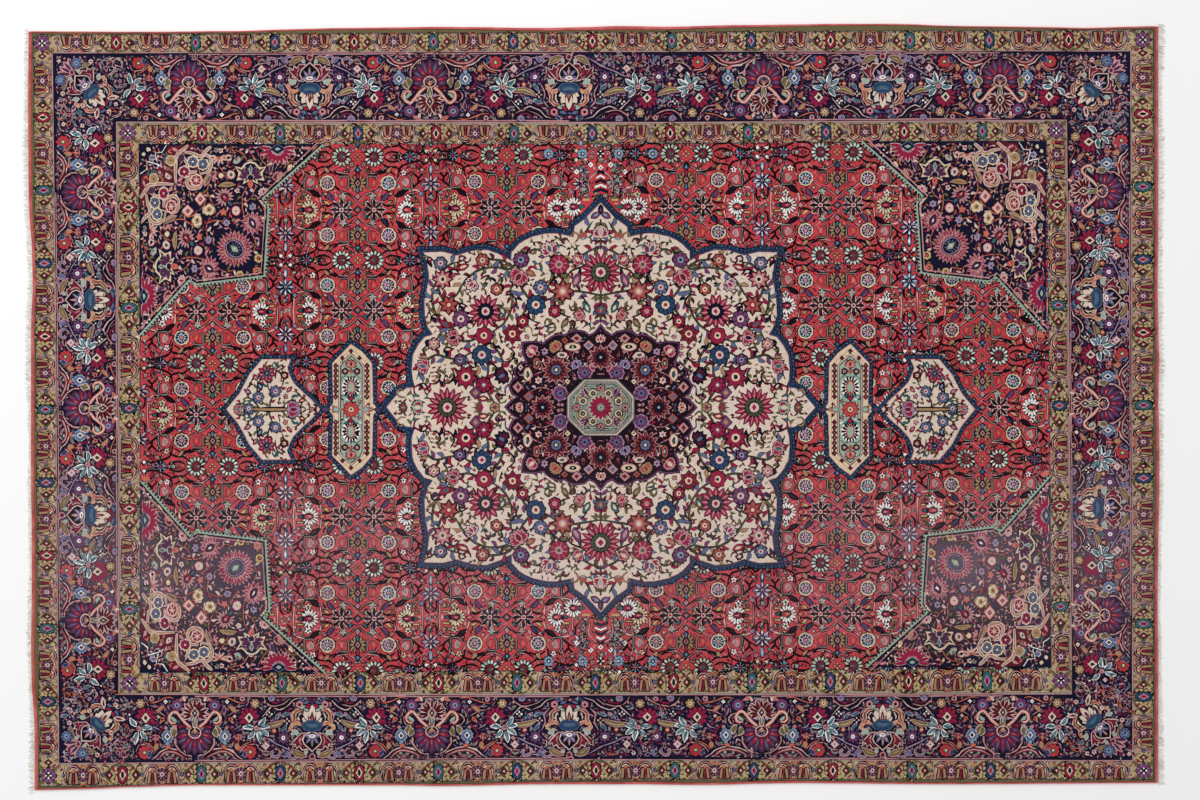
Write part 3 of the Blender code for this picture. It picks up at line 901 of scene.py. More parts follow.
def lattice_cell(seed):
    """The lines and fillers of the quarter, and its flowers with their places."""
    flowers = [
        (0, edged(star(4, 4.2, "straw", inner=0.4)) + star(4, 3, "crimson", turn=45, inner=0.4)),
        (13j, edged(lozenge(2.6, 4, "blue"), "ink", 0.7) + lozenge(1, 1.8, "sky")),
        (25.5j, lozenge_palmette()),
        (38.5j, edged(lozenge(2.2, 3, "rose")) + oval(0.9, "slate")),
        (51.4j, edged(lozenge(3.6, 3.4, "blue"), "ink", 0.7) + star(4, 2.6, "coral", inner=0.4)),
        (15.4 + 25j, square_hook("madder", "coral")),
        (48.6 + 25j, placed(square_hook("rose", "pewter"), across=-1, down=-1)),
        (16.4, mint_palmette()),
        (31 + 25.5j, ring_rosette()),
        (15 + 38.5j, edged(star(5, 4.6, "mint", inner=0.5)) + oval(1.6, "rose")),
        (26.5 + 39j,
         edged(leaf(11, 4.6, "purple", at=-3 + 4j, turn=38, bend=1), "ink", 0.7)
         + leaf(8, 1.4, "blue", at=-2 + 3j, turn=38)),
        (31 + 43.5j, edged(leaf(7, 2.8, "straw", at=-2 + 3j, turn=55))),
        (16.5 + 51.4j, field_star()),
        (49 + 51.4j, comb_palmette()),
        (50.5 + 39.6j, edged(star(5, 4, "white", inner=0.5)) + oval(1.5, "moss")),
        (58.6 + 45.6j, edged([(np.array([-3 - 0.8j, 3 - 0.8j, 3 + 0.8j, -3 + 0.8j]), "straw")])),
        (52.3,
         lobed(8, 6.2, "ink") + fanned(8, 6, 1.5, "sky", base=1.6) + oval(2.2, "navy")
         + oval(1.5, "crimson")),
        (73.5, cross_of_squares()),
        (73.5 + 27.5j, blue_star()),
        (73.5 + 13.6j, edged(leaf(10, 3.6, "sky", at=5j), "navy", 0.8) + leaf(6, 1.2, "white", at=3j)),
        (69.6 + 51.4j, oval(1.9, "ink") + oval(1.3, "mint")),
        (43.4 + 34.6j,
         leaf(15, 4, "ink", at=-6 + 5j, turn=58, bend=1)
         + leaf(9, 1.4, "navy", at=-3 + 3j, turn=58, bend=0.6)),
        (61 + 20.5j, stroke([-4 - 4j, 0, 4 - 4j], 2, "ink") + stroke([0, 5j], 2, "ink", steps=1)),
        (46 + 15.5j, edged(star(5, 3.6, "white", inner=0.5)) + oval(1.2, "crimson")),
        (62 + 9j, edged(leaf(7, 2.8, "crimson", at=3j, turn=-20))),
        (31 + 13j, edged(leaf(8, 3.4, "tan", at=-2 + 3j, turn=40))),
        (6 + 45j, edged(leaf(6, 2.6, "teal", at=2j, turn=30))),
        (36 + 51.4j, edged(lozenge(3, 2.4, "coral"))),
        (64 + 36j, floret("lilac", "crimson", 2.4)),
        (42.5 + 51.4j, oval(0.9, "mint")),
        (56 + 51.4j, oval(1.2, "ink")),
    ]
    halo = np.array([37 + 51.4j, 38 + 40j, 44 + 33.6j, 58 + 32.4j, 64.5 + 37j, 65.5 + 51.4j])
    free = stroke(halo, 2, "ink", (0.8, 0.8)) + stroke(halo, 0.9, "blush", (0.8, 0.8))
    for points in (
        [34.5, 30 + 8j, 24 + 13.6j, 12 + 16.4j, 4 + 12j, 8j], [24 + 28j, 18 + 33j, 9 + 36j, 1 + 43j],
        [38 + 27j, 43 + 18j, 50 + 12j, 52 + 6j], [58 + 12j, 55 + 17j, 57 + 26j, 61 + 31j],
        [67 + 2j, 60 + 9j, 62 + 15j, 70 + 17j],
    ):
        free += stroke(points, 2, "ink", (0.8, 0.8)) + stroke(points, 0.8, "rose", (0.8, 0.8))
    for points in (
        [27 + 2j, 34 + 5j, 44 + 3j], [22 + 17j, 31 + 14j, 38 + 18j],
        [40 + 20j, 42 + 12j, 46 + 8j, 60 + 4j, 68 + 6j], [66 + 22j, 60 + 26j, 54 + 31j],
        [24 + 45j, 30 + 48j, 36 + 47j], [24 + 6j, 30 + 10j, 38 + 10j, 44 + 14j],
        [68 + 34j, 68 + 42j, 72 + 46j],
    ):
        free += stroke(points, 1.7, "ink", (0.6, 0.6))
    quarter = list(free)
    for at, flower in flowers:
        quarter += placed(flower, at)
    free += between(quarter, halo, HALO_FILLERS, seed + 40)
    whole = np.array([0, CELL.real, CELL, 1j * CELL.imag])
    free += between(quarter + [(halo, "rose")], whole, FIELD_FILLERS, seed)
    return bolder(free), [(at, bolder(flower)) for at, flower in flowers]


def field():
    """The lattice over the whole field, and the narrow strip of other flowers on its middle."""
    cells = [lattice_cell(seed) for seed in (8, 9, 10)]
    swaps = [
        {}, {"teal": "moss", "straw": "tan", "lilac": "sky"},
        {"crimson": "madder", "mint": "pewter", "purple": "navy"},
        {"white": "cream", "slate": "teal", "maroon": "plum"},
        {"olive": "tan", "sky": "slate", "coral": "rose"},
    ]
    chance = np.random.default_rng(3)
    motif = []
    for column in LOZENGE_COLUMNS:
        for side in (-1, 1):
            beside = [c for c in STAR_COLUMNS if 0 < (c - column) * side < 90]
            if not beside:
                continue
            across = (beside[0] - column) / CELL.real
            for row in MINT_ROWS:
                for way in (-1, 1):
                    near = [r for r in STAR_ROWS if 0 < (r - row) * way < 60][0]
                    down = (near - row) / CELL.imag
                    corner = column + 1j * (row + (600 - column) / 100)  # rows run lower on the left
                    free, flowers = cells[chance.integers(len(cells))]
                    swap = swaps[chance.integers(len(swaps))]
                    part = placed(free, corner, across=across, down=down)
                    for at, flower in flowers:
                        if not (side < 0 and np.real(at) == 0 or way < 0 and np.imag(at) == 0):
                            place = corner + across * np.real(at) + 1j * down * np.imag(at)
                            part += placed(flower, place, across=side, down=way)
                    motif += redyed(part, swap)
    return motif + middle_strip()


def middle_strip():
    """The flowers over and under the medallion, between the two inner star columns."""
    half = []
    for at in (18 + 154j, 52 + 154j):
        half += placed(rosette(5.2, 8, "sky", "navy", "white", seam="blue"), at)
    half += placed(comb_palmette(90), 27.5 + 207j)
    half += [(np.array([11 + 199j, 18 + 199j, 18 + 201j, 11 + 201j]), "straw")]
    half += placed(floret("white", "crimson", 3), 24 + 172j)
    half += placed(floret("white", "crimson", 3), 10 + 165j)
    half += placed(floret("blush", "slate", 2.6), 36 + 184j)
    half += edged(stroke([11 + 192j, 12 + 182j, 6 + 174j, 172j], 1.4, "rose"))
    strip = []
    for k in range(5):
        wide = 7 - 0.9 * k
        at = 191j - 4.6j * k
        shape = np.array([-wide, 0 - 2.4j, wide, wide + 2.2j, 0 - 0.2j, -wide + 2.2j]) + at
        strip += edged([(shape, "white" if k % 2 else "navy")], "ink", 0.5)
    strip += star(4, 7, "ink", at=154j, turn=45, inner=0.3)
    strip += placed(four_dots("white", "crimson", 2.6), 154j)
    strip += placed(floret("white", "blue", 3), 168j)
    strip = mirrored(half) + strip
    strip += between(strip, np.array([-19 + 146j, 19 + 146j, 19 + 200j, -19 + 200j]), FIELD_FILLERS, 9)
    upper = placed(strip, at=MEDALLION.real)
    return upper + [(np.conj(p) + 2j * MEDALLION.imag, yarn) for p, yarn in upper]


# The medallion, drawn as the quarter to the right of and below its middle

MEDALLION = 600.7 + 407.4j
IVORY_EDGE = (204j, 14 + 189j, 26 + 180.5j, 26.7 + 169.5j, 35.7 + 171.8j, 44 + 173.4j, 53.3 + 173.4j,
              67 + 170.4j, 76 + 166.5j, 81.7 + 162.7j, 88.5 + 155j, 88.5 + 145.8j, 100.7 + 152.4j,
              114 + 157j, 129 + 156j, 143.2 + 151.4j, 158 + 155j, 176 + 154.4j, 172.5 + 142j, 171 + 130j,
              173 + 119j, 175 + 107.4j, 175.5 + 92.4j, 172 + 80j, 167 + 72.4j, 175.7 + 70j, 182 + 62j,
              187 + 52.4j, 188.5 + 38.4j, 187.5 + 28j, 185 + 19.4j, 193 + 19j, 200.7 + 15.4j, 207 + 8j,
              213.7)
DARK_EDGE = (80j, 5 + 73.5j, 11.7 + 70.4j, 17 + 74.6j, 24 + 75.6j, 31 + 74j, 35.7 + 70.4j, 40 + 71.6j,
             46 + 70.6j, 52 + 67j, 56.7 + 62.4j, 66 + 64.4j, 77 + 63.4j, 76 + 53j, 71.7 + 44.4j, 79 + 43j,
             85 + 37.4j, 84.5 + 33j, 81.7 + 29.4j, 87 + 27j, 90 + 21.4j, 87 + 14j, 80.7 + 10.4j, 87 + 7j,
             93.7)


def all_round(quarter, at):
    """A closed outline from its quarter between the downward and the rightward tip."""
    q = np.array(quarter)
    ring = np.concatenate([q, np.conj(q[-2::-1]), -q[1:], -np.conj(q[-2:0:-1])])
    return at + ring


def four_ways(motif, at):
    """The quarter's motif and its three mirror images."""
    return [shape for across in (1, -1) for down in (1, -1)
            for shape in placed(motif, at, across=across, down=down)]


def two_ways(motif, at):
    """A motif on the upright middle line, below and above."""
    return placed(motif, at) + placed(motif, at, down=-1)


def beside(motif, at):
    """A motif on the level middle line, right and left."""
    return placed(motif, at) + placed(motif, at, across=-1)


def sun_flower(reach, count, petal, ring, inner, eye):
    """The large many-petalled flower: narrow outlined petals round a ringed middle."""
    wide = 2.6 * reach / count
    return (
        edged(fanned(count, reach, wide * 1.5, petal, base=reach * 0.3))
        + fanned(count, reach - 2, wide * 0.5, "rose", base=reach * 0.42)
        + lobed(count, reach * 0.54, "ink", turn=180 / count)
        + lobed(count, reach * 0.47, ring, turn=180 / count)
        + fanned(count, reach * 0.46, 0.8, "ink", base=reach * 0.2, turn=180 / count)
        + oval(reach * 0.3, "ink")
        + oval(reach * 0.25, inner)
        + lozenge(reach * 0.14, reach * 0.17, eye)
    )


IVORY_STEMS = (
    (188j, 176j, 157j),
    (114j, 100j, 84j),
    (112j, 22 + 116j, 38 + 116j, 52 + 108j, 64 + 104j),
    (160j, 12 + 156j, 24 + 148j, 42 + 143j, 52 + 152j, 66 + 158j, 80 + 148j),
    (80 + 147j, 92 + 138j, 104 + 140j, 120 + 138j, 134 + 128j, 143 + 114j, 152 + 102j),
    (83 + 129j, 90 + 118j, 88 + 104j, 94 + 88j, 104 + 78j, 117 + 72j),
    (64 + 104j, 74 + 112j, 84 + 128j),
    (60 + 120j, 48 + 128j, 36 + 134j, 28 + 128j),
    (117 + 72j, 132 + 66j, 148 + 69j, 158 + 76j, 166 + 63j),
    (106 + 4j, 112 + 14j, 117 + 22j, 126 + 34j, 134 + 31j),
    (117 + 22j, 112 + 38j, 118 + 52j, 130 + 54j, 141 + 47j),
    (141 + 47j, 154 + 50j, 166 + 52j, 178 + 42j, 184 + 28j),
    (100 + 31j, 98 + 46j, 104 + 58j, 117 + 70j),
    (88 + 73j, 80 + 84j, 76 + 96j, 66 + 102j),
    (140 + 88j, 148 + 80j, 156 + 83j, 166 + 96j, 168 + 116j, 160 + 134j),
    (152 + 102j, 160 + 112j, 162 + 128j, 152 + 142j, 138 + 146j),
    (20 + 168j, 14 + 176j, 8 + 186j),
    (88 + 140j, 96 + 146j, 110 + 148j, 124 + 150j),
)


IVORY_FILLERS = (
    (5.4, [curled(12, "olive"), curled(11, "tan"), curled(12, "crimson"),
           twig(14, "ink", ("crimson", "teal", "olive")),
           twig(14, "moss", ("purple", "olive", "crimson", "navy")), curled(12, "slate")]),
    (3.6, [twig(10, "ink", ("crimson", "olive", "teal")), twig(10, "moss", ("maroon", "navy", "olive")),
           floret("rose", "crimson", 2.6, 5), curled(8, "olive"), curled(8, "maroon")]),
    (2.5, [twig(7, "ink", ("olive", "crimson")), twig(7, "ink", ("navy", "maroon")),
           leaf(5.4, 2, "moss", at=2j), leaf(5.4, 2.2, "maroon", at=2j), leaf(5, 1.8, "rust", at=2j)]),
)


def ivory_flowers():
    """The flowers, stems and fillers of the ivory medallion."""
    quarter = []
    for points in IVORY_STEMS:
        quarter += leafy(points, 2.6, "moss", ("olive", "crimson", "slate", "maroon", "purple", "tan"), 5.8,
                         9)
    shoots = (
        (20 + 112j, 14 + 104j, 20 + 96j, 27 + 100j), (30 + 90j, 40 + 94j, 46 + 104j, 40 + 108j),
        (60 + 84j, 70 + 88j, 72 + 96j, 66 + 92j), (52 + 138j, 46 + 130j, 52 + 122j, 58 + 112j),
        (10 + 146j, 20 + 140j, 30 + 136j, 34 + 128j), (70 + 160j, 76 + 154j, 84 + 156j),
        (96 + 112j, 88 + 112j, 84 + 104j, 90 + 98j), (132 + 100j, 140 + 104j, 142 + 96j),
        (128 + 80j, 124 + 88j, 132 + 90j), (106 + 84j, 100 + 94j, 94 + 98j),
        (158 + 92j, 168 + 92j, 170 + 84j), (92 + 60j, 86 + 54j, 90 + 46j, 98 + 46j),
        (110 + 44j, 104 + 40j, 106 + 34j), (134 + 46j, 128 + 40j, 122 + 42j),
        (150 + 40j, 146 + 32j, 152 + 24j, 160 + 26j), (166 + 36j, 160 + 32j, 164 + 24j, 172 + 24j),
        (172 + 16j, 176 + 24j, 184 + 22j), (146 + 58j, 154 + 60j, 158 + 54j),
        (174 + 52j, 178 + 58j, 172 + 62j), (116 + 62j, 108 + 64j, 104 + 56j),
        (140 + 132j, 146 + 138j, 154 + 134j, 150 + 128j), (120 + 128j, 112 + 132j, 110 + 124j),
        (166 + 146j, 172 + 150j, 174 + 142j), (104 + 132j, 98 + 128j, 102 + 120j),
    )
    for points in shoots:
        quarter += leafy(points, 1.8, "ink", ("crimson", "olive", "navy", "rust"), 5, 6.4, 2.5)
    flowers = (
        (5 + 192j, bud(8, 4.4, "purple", "sky", 60)),
        (17.4 + 171j, oval(3.4, "rust") + oval(1.6, "sky", at=-2j)),
        (51.7 + 159.6j, lotus(10, "crimson", "blush", "teal", 160)),
        (79.7 + 147.4j, rosette(6, 8, "purple", "sky", "ink")),
        (60 + 120j, rosette(5.4, 8, "slate", "blush", "crimson")),
        (41.7 + 142.8j, rosette(7.6, 9, "crimson", "rose", "moss", seam="rose")),
        (23.7 + 148.4j, lotus(7, "crimson", "rose", "cream", 120)),
        (38 + 116j, star_flower(9, 8, "maroon", "rust", "rose", "cream")),
        (83 + 129j, lotus(11, "crimson", "rose", "maroon", 35, 9)),
        (64.7 + 102.4j, rosette(7.6, 9, "blue", "cream", "crimson")),
        (24 + 127.4j, bud(12, 6, "purple", "rose", 200)),
        (115 + 96j, sun_flower(17, 13, "crimson", "navy", "blush", "crimson")),
        (139.7 + 88.4j, rosette(6.6, 8, "purple", "blush", "navy")),
        (151.7 + 102.4j, star_flower(8, 7, "maroon", "rust", "crimson", "cream")),
        (155.7 + 83.4j, bud(10, 5, "crimson", "teal", 120)),
        (116.7 + 71.8j, rosette(6.6, 8, "crimson", "cream", "navy", seam="crimson")),
        (148.7 + 69.4j, lotus(9, "crimson", "rose", "navy", 80, 7)),
        (88 + 73.4j, star_flower(8, 7, "crimson", "maroon", "cream", "crimson")),
        (166.7 + 63.4j, rosette(4.6, 6, "rose", "cream", "crimson")),
        (140.7 + 47.4j, rosette(4.6, 6, "purple", "sky", "ink")),
        (118.7 + 52.4j, rosette(7.6, 9, "blue", "blush", "crimson")),
        (178.7 + 41.4j, lotus(8.6, "crimson", "rose", "teal", 100)),
        (134.7 + 30.4j, star_flower(9.6, 9, "maroon", "crimson", "cream", "navy")),
        (116.7 + 22.4j, rosette(6, 8, "crimson", "purple", "cream")),
        (99.7 + 31j, lotus(9, "maroon", "navy", "slate", 60)),
        (125 + 14.8j, edged(lozenge(4.6, 5, "purple")) + lozenge(2.2, 2.4, "tan")),
        (118 + 8.7j, bud(8, 4.6, "crimson", "cream", 90)),
        (104 + 118j, rosette(4.6, 6, "rust", "cream", "crimson")),
        (130 + 122j, lotus(8, "purple", "blush", "crimson", 45)),
        (158 + 128j, star_flower(8, 8, "crimson", "rose", "cream", "navy")),
        (160 + 144j, rosette(5, 7, "slate", "blush", "crimson")),
        (118 + 147j, rosette(5, 7, "rust", "blush", "moss")),
        (138 + 140j, bud(10, 5, "crimson", "cream", 70)),
        (98 + 96j, bud(8, 4, "teal", "cream", 330)),
        (78 + 86j, rosette(4.6, 6, "crimson", "cream", "navy")),
        (70 + 134j, bud(8, 4.4, "rust", "tan", 300)),
        (14 + 100j, bud(9, 4.6, "teal", "cream", 150)),
        (22 + 92j, lotus(7, "rust", "rose", "crimson", 60)),
        (46 + 96j, rosette(4.8, 7, "crimson", "rose", "tan")),
        (36 + 84j, bud(8, 4, "olive", "tan", 40)),
    )
    for at, flower in flowers:
        quarter += placed(fuller(flower), at)
    room = [0, *IVORY_EDGE[::-1]]
    beside_axes = placed(sun_flower(20, 17, "crimson", "moss", "blush", "crimson"), 135j)
    beside_axes += placed(sun_flower(20, 17, "crimson", "moss", "blush", "crimson"), 153.3)
    beside_axes += [(all_round(DARK_EDGE, 0), "ink")] + stroke([80j, 204j], 8, "ink", steps=1)
    beside_axes += stroke([93, 213], 8, "ink", steps=1)
    quarter += between(quarter + beside_axes, room, IVORY_FILLERS, 3)
    on_upright = (
        (198j, bud(9, 5, "navy", "purple", 180)),
        (176j, lotus(11, "crimson", "blush", "mint", 180, 9)),
        (135j, sun_flower(20.6, 17, "crimson", "moss", "blush", "crimson")),
        (98j, lotus(8, "crimson", "teal", "tan", 180)),
    )
    on_level = (
        (153.3, sun_flower(20, 17, "crimson", "moss", "blush", "crimson")),
        (184, lotus(10, "crimson", "mint", "cream", 90, 9)),
        (198, lotus(7, "crimson", "moss", "tan", 90)),
        (105.7, rosette(5, 6, "tan", "crimson", "blue")),
        (117,
         fanned(5, 12, 2.4, "moss", spread=110, turn=90) + fanned(4, 10, 1.6, "crimson", spread=80, turn=90)),
    )
    motif = four_ways(quarter, MEDALLION)
    for at, flower in on_upright:
        motif += two_ways(placed(flower, at), MEDALLION)
    for at, flower in on_level:
        motif += beside(placed(flower, at), MEDALLION)
    return motif


DARK_FILLERS = (
    (4.2, [lotus(5.2, "crimson", "rust", "navy"), lotus(5.2, "maroon", "blush", "navy"),
           floret("rust", "ink", 3.2, 6), floret("rose", "crimson", 3, 5), lotus(5, "rust", "rose", "teal"),
           floret("rose", "navy", 3.2, 4)]),
    (2.7, [twig(8, "rose", ("maroon", "rose", "rust"), "ink"),
           leaf(7, 2.6, "rust", at=3j) + leaf(6, 1.5, "ink", at=2.6j),
           leaf(7, 2.6, "rose", at=3j) + leaf(6, 1.5, "maroon", at=2.6j), floret("rose", "navy", 2.1),
           floret("rust", "ink", 2.1), leaf(6, 2.4, "slate", at=3j),
           leaf(6, 2.4, "blush", at=3j) + leaf(5, 1.3, "navy", at=2.5j)]),
    (1.8, [leaf(4.6, 1.5, "rose", at=2j), leaf(4.4, 1.6, "crimson", at=2j), leaf(4.4, 1.4, "rust", at=2j),
           stroke([-2, 0 - 1j, 2, 3 + 1.5j], 0.9, "rose", (0.5, 0.5), 2), oval(1.1, "purple"),
           oval(1, "teal")]),
    (1.4, blades(1.4j, (3, 0.9, "rose"), (3, 1.0, "maroon"), (3, 1, "purple"))),
)


def palmette_star(reach, petal, tip, heart, eye):
    """The large flower of the dark ground: forked petals round a dark heart."""
    return (
        edged(edged(fanned(12, reach, reach * 0.28, "maroon", base=3), petal, 0.7), "ink", 0.5)
        + fanned(12, reach - 2, 1.1, tip, base=reach * 0.5)
        + fanned(12, reach - 3, 1.0, "ink", base=reach * 0.4, turn=15)
        + lobed(8, reach * 0.46, "ink")
        + lobed(8, reach * 0.38, heart)
        + oval(reach * 0.2, "ink")
        + oval(reach * 0.12, eye)
    )


def dark_medallion():
    """The dark medallion with its flowers."""
    edge = all_round(DARK_EDGE, MEDALLION)
    motif = [(grown(edge, 2.4), "navy"), (grown(edge, 1.6), "purple"), (grown(edge, 0.6), "ink"),
             (edge, "aubergine")]
    quarter = []
    for points in (
        (33 + 28j, 40 + 20j, 52 + 12j, 60 + 4j), (20 + 34j, 14 + 44j, 6 + 50j, 2 + 60j),
        (30 + 36j, 44 + 38j, 58 + 36j, 70 + 30j, 80 + 20j), (26 + 38j, 28 + 52j, 22 + 62j, 26 + 70j),
        (44 + 38j, 50 + 48j, 60 + 54j, 70 + 60j), (58 + 36j, 60 + 46j, 68 + 48j),
        (40 + 8j, 48 + 16j, 60 + 20j, 74 + 14j), (8 + 36j, 20 + 42j, 34 + 48j, 44 + 60j),
    ):
        quarter += leafy(points, 1.5, "rose", ("rust", "blush", "crimson", "rose"), 5, 5)
    flowers = (
        (44.5 + 37.5j, palmette_star(14, "rose", "rust", "slate", "cream")),
        (16 + 34.7j, rosette(5.8, 8, "purple", "slate", "ink", rim="lilac")),
        (40.4 + 14.2j, rosette(5.8, 8, "purple", "slate", "ink", rim="lilac")),
        (28 + 60.5j,
         edged(oval(6, "cream", down=2.8), "rose", 0.9) + oval(3.4, "ink", down=1.8) + oval(1.2, "mint")),
        (38.6 + 52.4j, edged(oval(4.6, "blush", down=2.6)) + oval(2.4, "moss", down=1.4)),
        (24 + 69j, edged(lozenge(4.6, 4.2, "rose"), "ink", 0.5) + lozenge(2.4, 2, "maroon")),
        (82.6 + 20.4j, edged(lozenge(4.4, 4.6, "rose"), "ink", 0.5) + lozenge(2, 2.4, "maroon")),
        (25 + 44j, lotus(7, "slate", "lilac", "navy", 150)),
        (46 + 61.7j, lotus(8, "rust", "tan", "crimson", 140, 9)),
        (69.7 + 57j, lotus(8, "crimson", "rose", "cream", 130, 9)),
        (64 + 44j, edged(oval(2.8, "rust", down=5)) + oval(1.6, "ink", down=3.2) + oval(0.9, "mint", down=2)),
        (73 + 33j,
         edged(oval(2.8, "cream", down=5), "rose", 0.8) + oval(1.6, "ink", down=3.2)
         + oval(0.9, "teal", down=2)),
        (62 + 27j, floret("blush", "crimson", 3.4, 6)),
        (72 + 11j, edged(lozenge(4.4, 4.4, "rust")) + lozenge(2.4, 2.4, "slate")),
        (12 + 62j, edged(lozenge(4.4, 4.4, "rose")) + lozenge(2.4, 2.4, "slate")),
        (56 + 56j, floret("lilac", "maroon", 3.4, 6)),
        (36 + 67j, floret("rust", "ink", 3)),
        (80 + 40j, floret("blush", "maroon", 2.6)),
        (53 + 3j, bud(9, 4.6, "rust", "tan", 60)),
        (9 + 40j, bud(9, 4.6, "rose", "crimson", 150)),
        (33 + 26j, floret("cream", "crimson", 2.6)),
    )
    for at, flower in flowers:
        quarter += placed(fuller(flower, 1.2), at)
    on_upright = (
        (50j, palmette_star(12, "rose", "rust", "navy", "mint")),
        (69.5j, lotus(7.4, "rust", "blush", "crimson", 180)),
    )
    on_level = (
        (58, palmette_star(12, "rose", "rust", "navy", "mint")),
        (82, lotus(7.4, "rust", "blush", "crimson", 90)),
    )
    there = [(octagon_outline(36, 31, 18) - MEDALLION, "ink")]
    for at, flower in on_upright + on_level:
        there += placed(flower, at)
    quarter += between(quarter + there, [0, *DARK_EDGE[::-1]], DARK_FILLERS, 6)
    motif += four_ways(quarter, MEDALLION)
    for at, flower in on_upright:
        motif += two_ways(placed(flower, at), MEDALLION)
    for at, flower in on_level:
        motif += beside(placed(flower, at), MEDALLION)
    return motif


def octagon_outline(across, down, cut):
    """An octagon about the medallion's middle, its corners cut off at 45 degrees."""
    quarter = np.array([1j * down, across - cut + 1j * down, across + 1j * (down - cut), across])
    return all_round(quarter, MEDALLION)


def ringed_cross():
    """A small dark cross in a pale scalloped ring."""
    return (
        edged(lobed(6, 4.2, "cream"), "ink", 0.7) + lobed(6, 2.9, "moss") + star(4, 2.8, "ink", inner=0.35)
        + oval(0.8, "rose")
    )


def octagon():
    """The pale octagon on the rug's middle with its round flower."""
    motif = []
    for across, down, cut, yarn in (
        (34.6, 29.4, 17.6, "ink"), (33.6, 28.4, 17.2, "pewter"), (32.4, 27.2, 16.6, "blush"),
        (31.4, 26.2, 16.2, "moss"), (30.8, 25.6, 15.9, "pewter"), (28.6, 23.4, 14.9, "ink"),
        (28, 22.8, 14.6, "mint"), (27, 21.8, 14.2, "tan"), (24, 19.4, 12.8, "pewter"),
    ):
        motif.append((octagon_outline(across, down, cut), yarn))
    quarter = stroke([4 + 20j, 12 + 20.5j, 19 + 17j, 25 + 10j, 26 + 3j], 2.6, "ink")
    quarter += stroke([4 + 20j, 12 + 20.5j, 19 + 17j, 25 + 10j, 26 + 3j], 1.2, "mint")
    for turn, yarn in ((105, "plum"), (128, "purple"), (150, "plum")):
        quarter += edged(leaf(9.5, 3.4, yarn, at=12.5 + 11.5j, turn=turn), "blush", 0.5)
    quarter += edged(leaf(6, 2, "crimson", at=21 + 1j, turn=40), "cream", 0.4)
    quarter += edged(leaf(6, 2, "crimson", at=3 + 15j, turn=105), "cream", 0.4)
    quarter += placed(ringed_cross(), 7.6 + 14j) + placed(ringed_cross(), 17.8 + 6.2j)
    quarter += placed(floret("rose", "ink", 1.8), 13.4 + 9.8j)
    motif += four_ways(quarter, MEDALLION)
    motif += two_ways(placed(lotus(5.6, "crimson", "rose", "ink", 180, 5), 20j), MEDALLION)
    motif += beside(placed(lotus(5.6, "crimson", "rose", "ink", 90, 5), 25), MEDALLION)
    heart = lobed(16, 13.4, "mint", dent=0.1)
    heart += edged(fanned(16, 12.8, 3.7, "crimson", base=2), "blush", 0.3)
    heart += fanned(16, 11, 1.1, "maroon", base=4)
    heart += oval(4.6, "maroon") + oval(4, "pewter") + oval(2.2, "mint") + oval(1, "moss")
    return motif + placed(heart, MEDALLION)


def medallion():
    """The ivory medallion, the dark one on it and the octagon in the middle."""
    edge = all_round(IVORY_EDGE, MEDALLION)
    motif = [(grown(edge, 6.6), "ink"), (grown(edge, 5.8), "blue"), (grown(edge, 3.4), "navy")]
    motif += strung(grown(edge, 4.6), 4, oval(0.9, "ink")) + strung(grown(edge, 4.6), 8, oval(0.7, "slate"))
    motif += [(grown(edge, 2.6), "blue"), (grown(edge, 1.3), "ink"), (grown(edge, 0.6), "rose"),
              (edge, "ivory")]
    return motif + ivory_flowers() + dark_medallion() + octagon()


# The pendants on both sides of the medallion, drawn on the right, in knots from the medallion's middle

ARROW_EDGE = (280.7, 289 + 9j, 298.7 + 17.7j, 305 + 24j, 307.7 + 27.1j, 311 + 34j, 313.7 + 41.3j,
              310.2 + 49.7j, 337.9 + 49.7j, 351 + 34j, 360 + 16j, 373.3)
CARTOUCHE_EDGE = (223.7 + 1j, 227.7 + 6j, 228.7 + 46j, 238 + 57j, 249.4 + 65j, 258 + 56j, 267.7 + 46j,
                  266.7 + 6j, 270.7 + 1j)


def level_outline(upper):
    """A closed outline from the half below the level middle line."""
    p = np.array(upper)
    return np.concatenate([p, np.conj(p[::-1])]) if p[0].imag else np.concatenate([p, np.conj(p[-2:0:-1])])


PANEL_FILLERS = (
    (2.4, [twig(6.4, "moss", ("crimson", "teal")), floret("rose", "ink", 1.8), leaf(5, 2, "navy", at=2.4j)]),
    (1.6, blades(1.6j, (3.6, 1.4, "moss"), (3.6, 1.4, "white"), (3.4, 1.4, "crimson"))),
)


def beaded(edge, ground, out=0.0):
    """A ground in a blue band with beads, all of it that much further out."""
    line = grown(edge, 2.6 + out)
    motif = [(grown(edge, 4.8 + out), "ink"), (grown(edge, 4 + out), "blue")]
    motif += strung(line, 4.2, oval(1, "ink")) + strung(line, 8.4, oval(0.8, "slate"))
    return motif + [(grown(edge, 1.3 + out), "ink"), (grown(edge, 0.6 + out), "rose"), (edge, ground)]


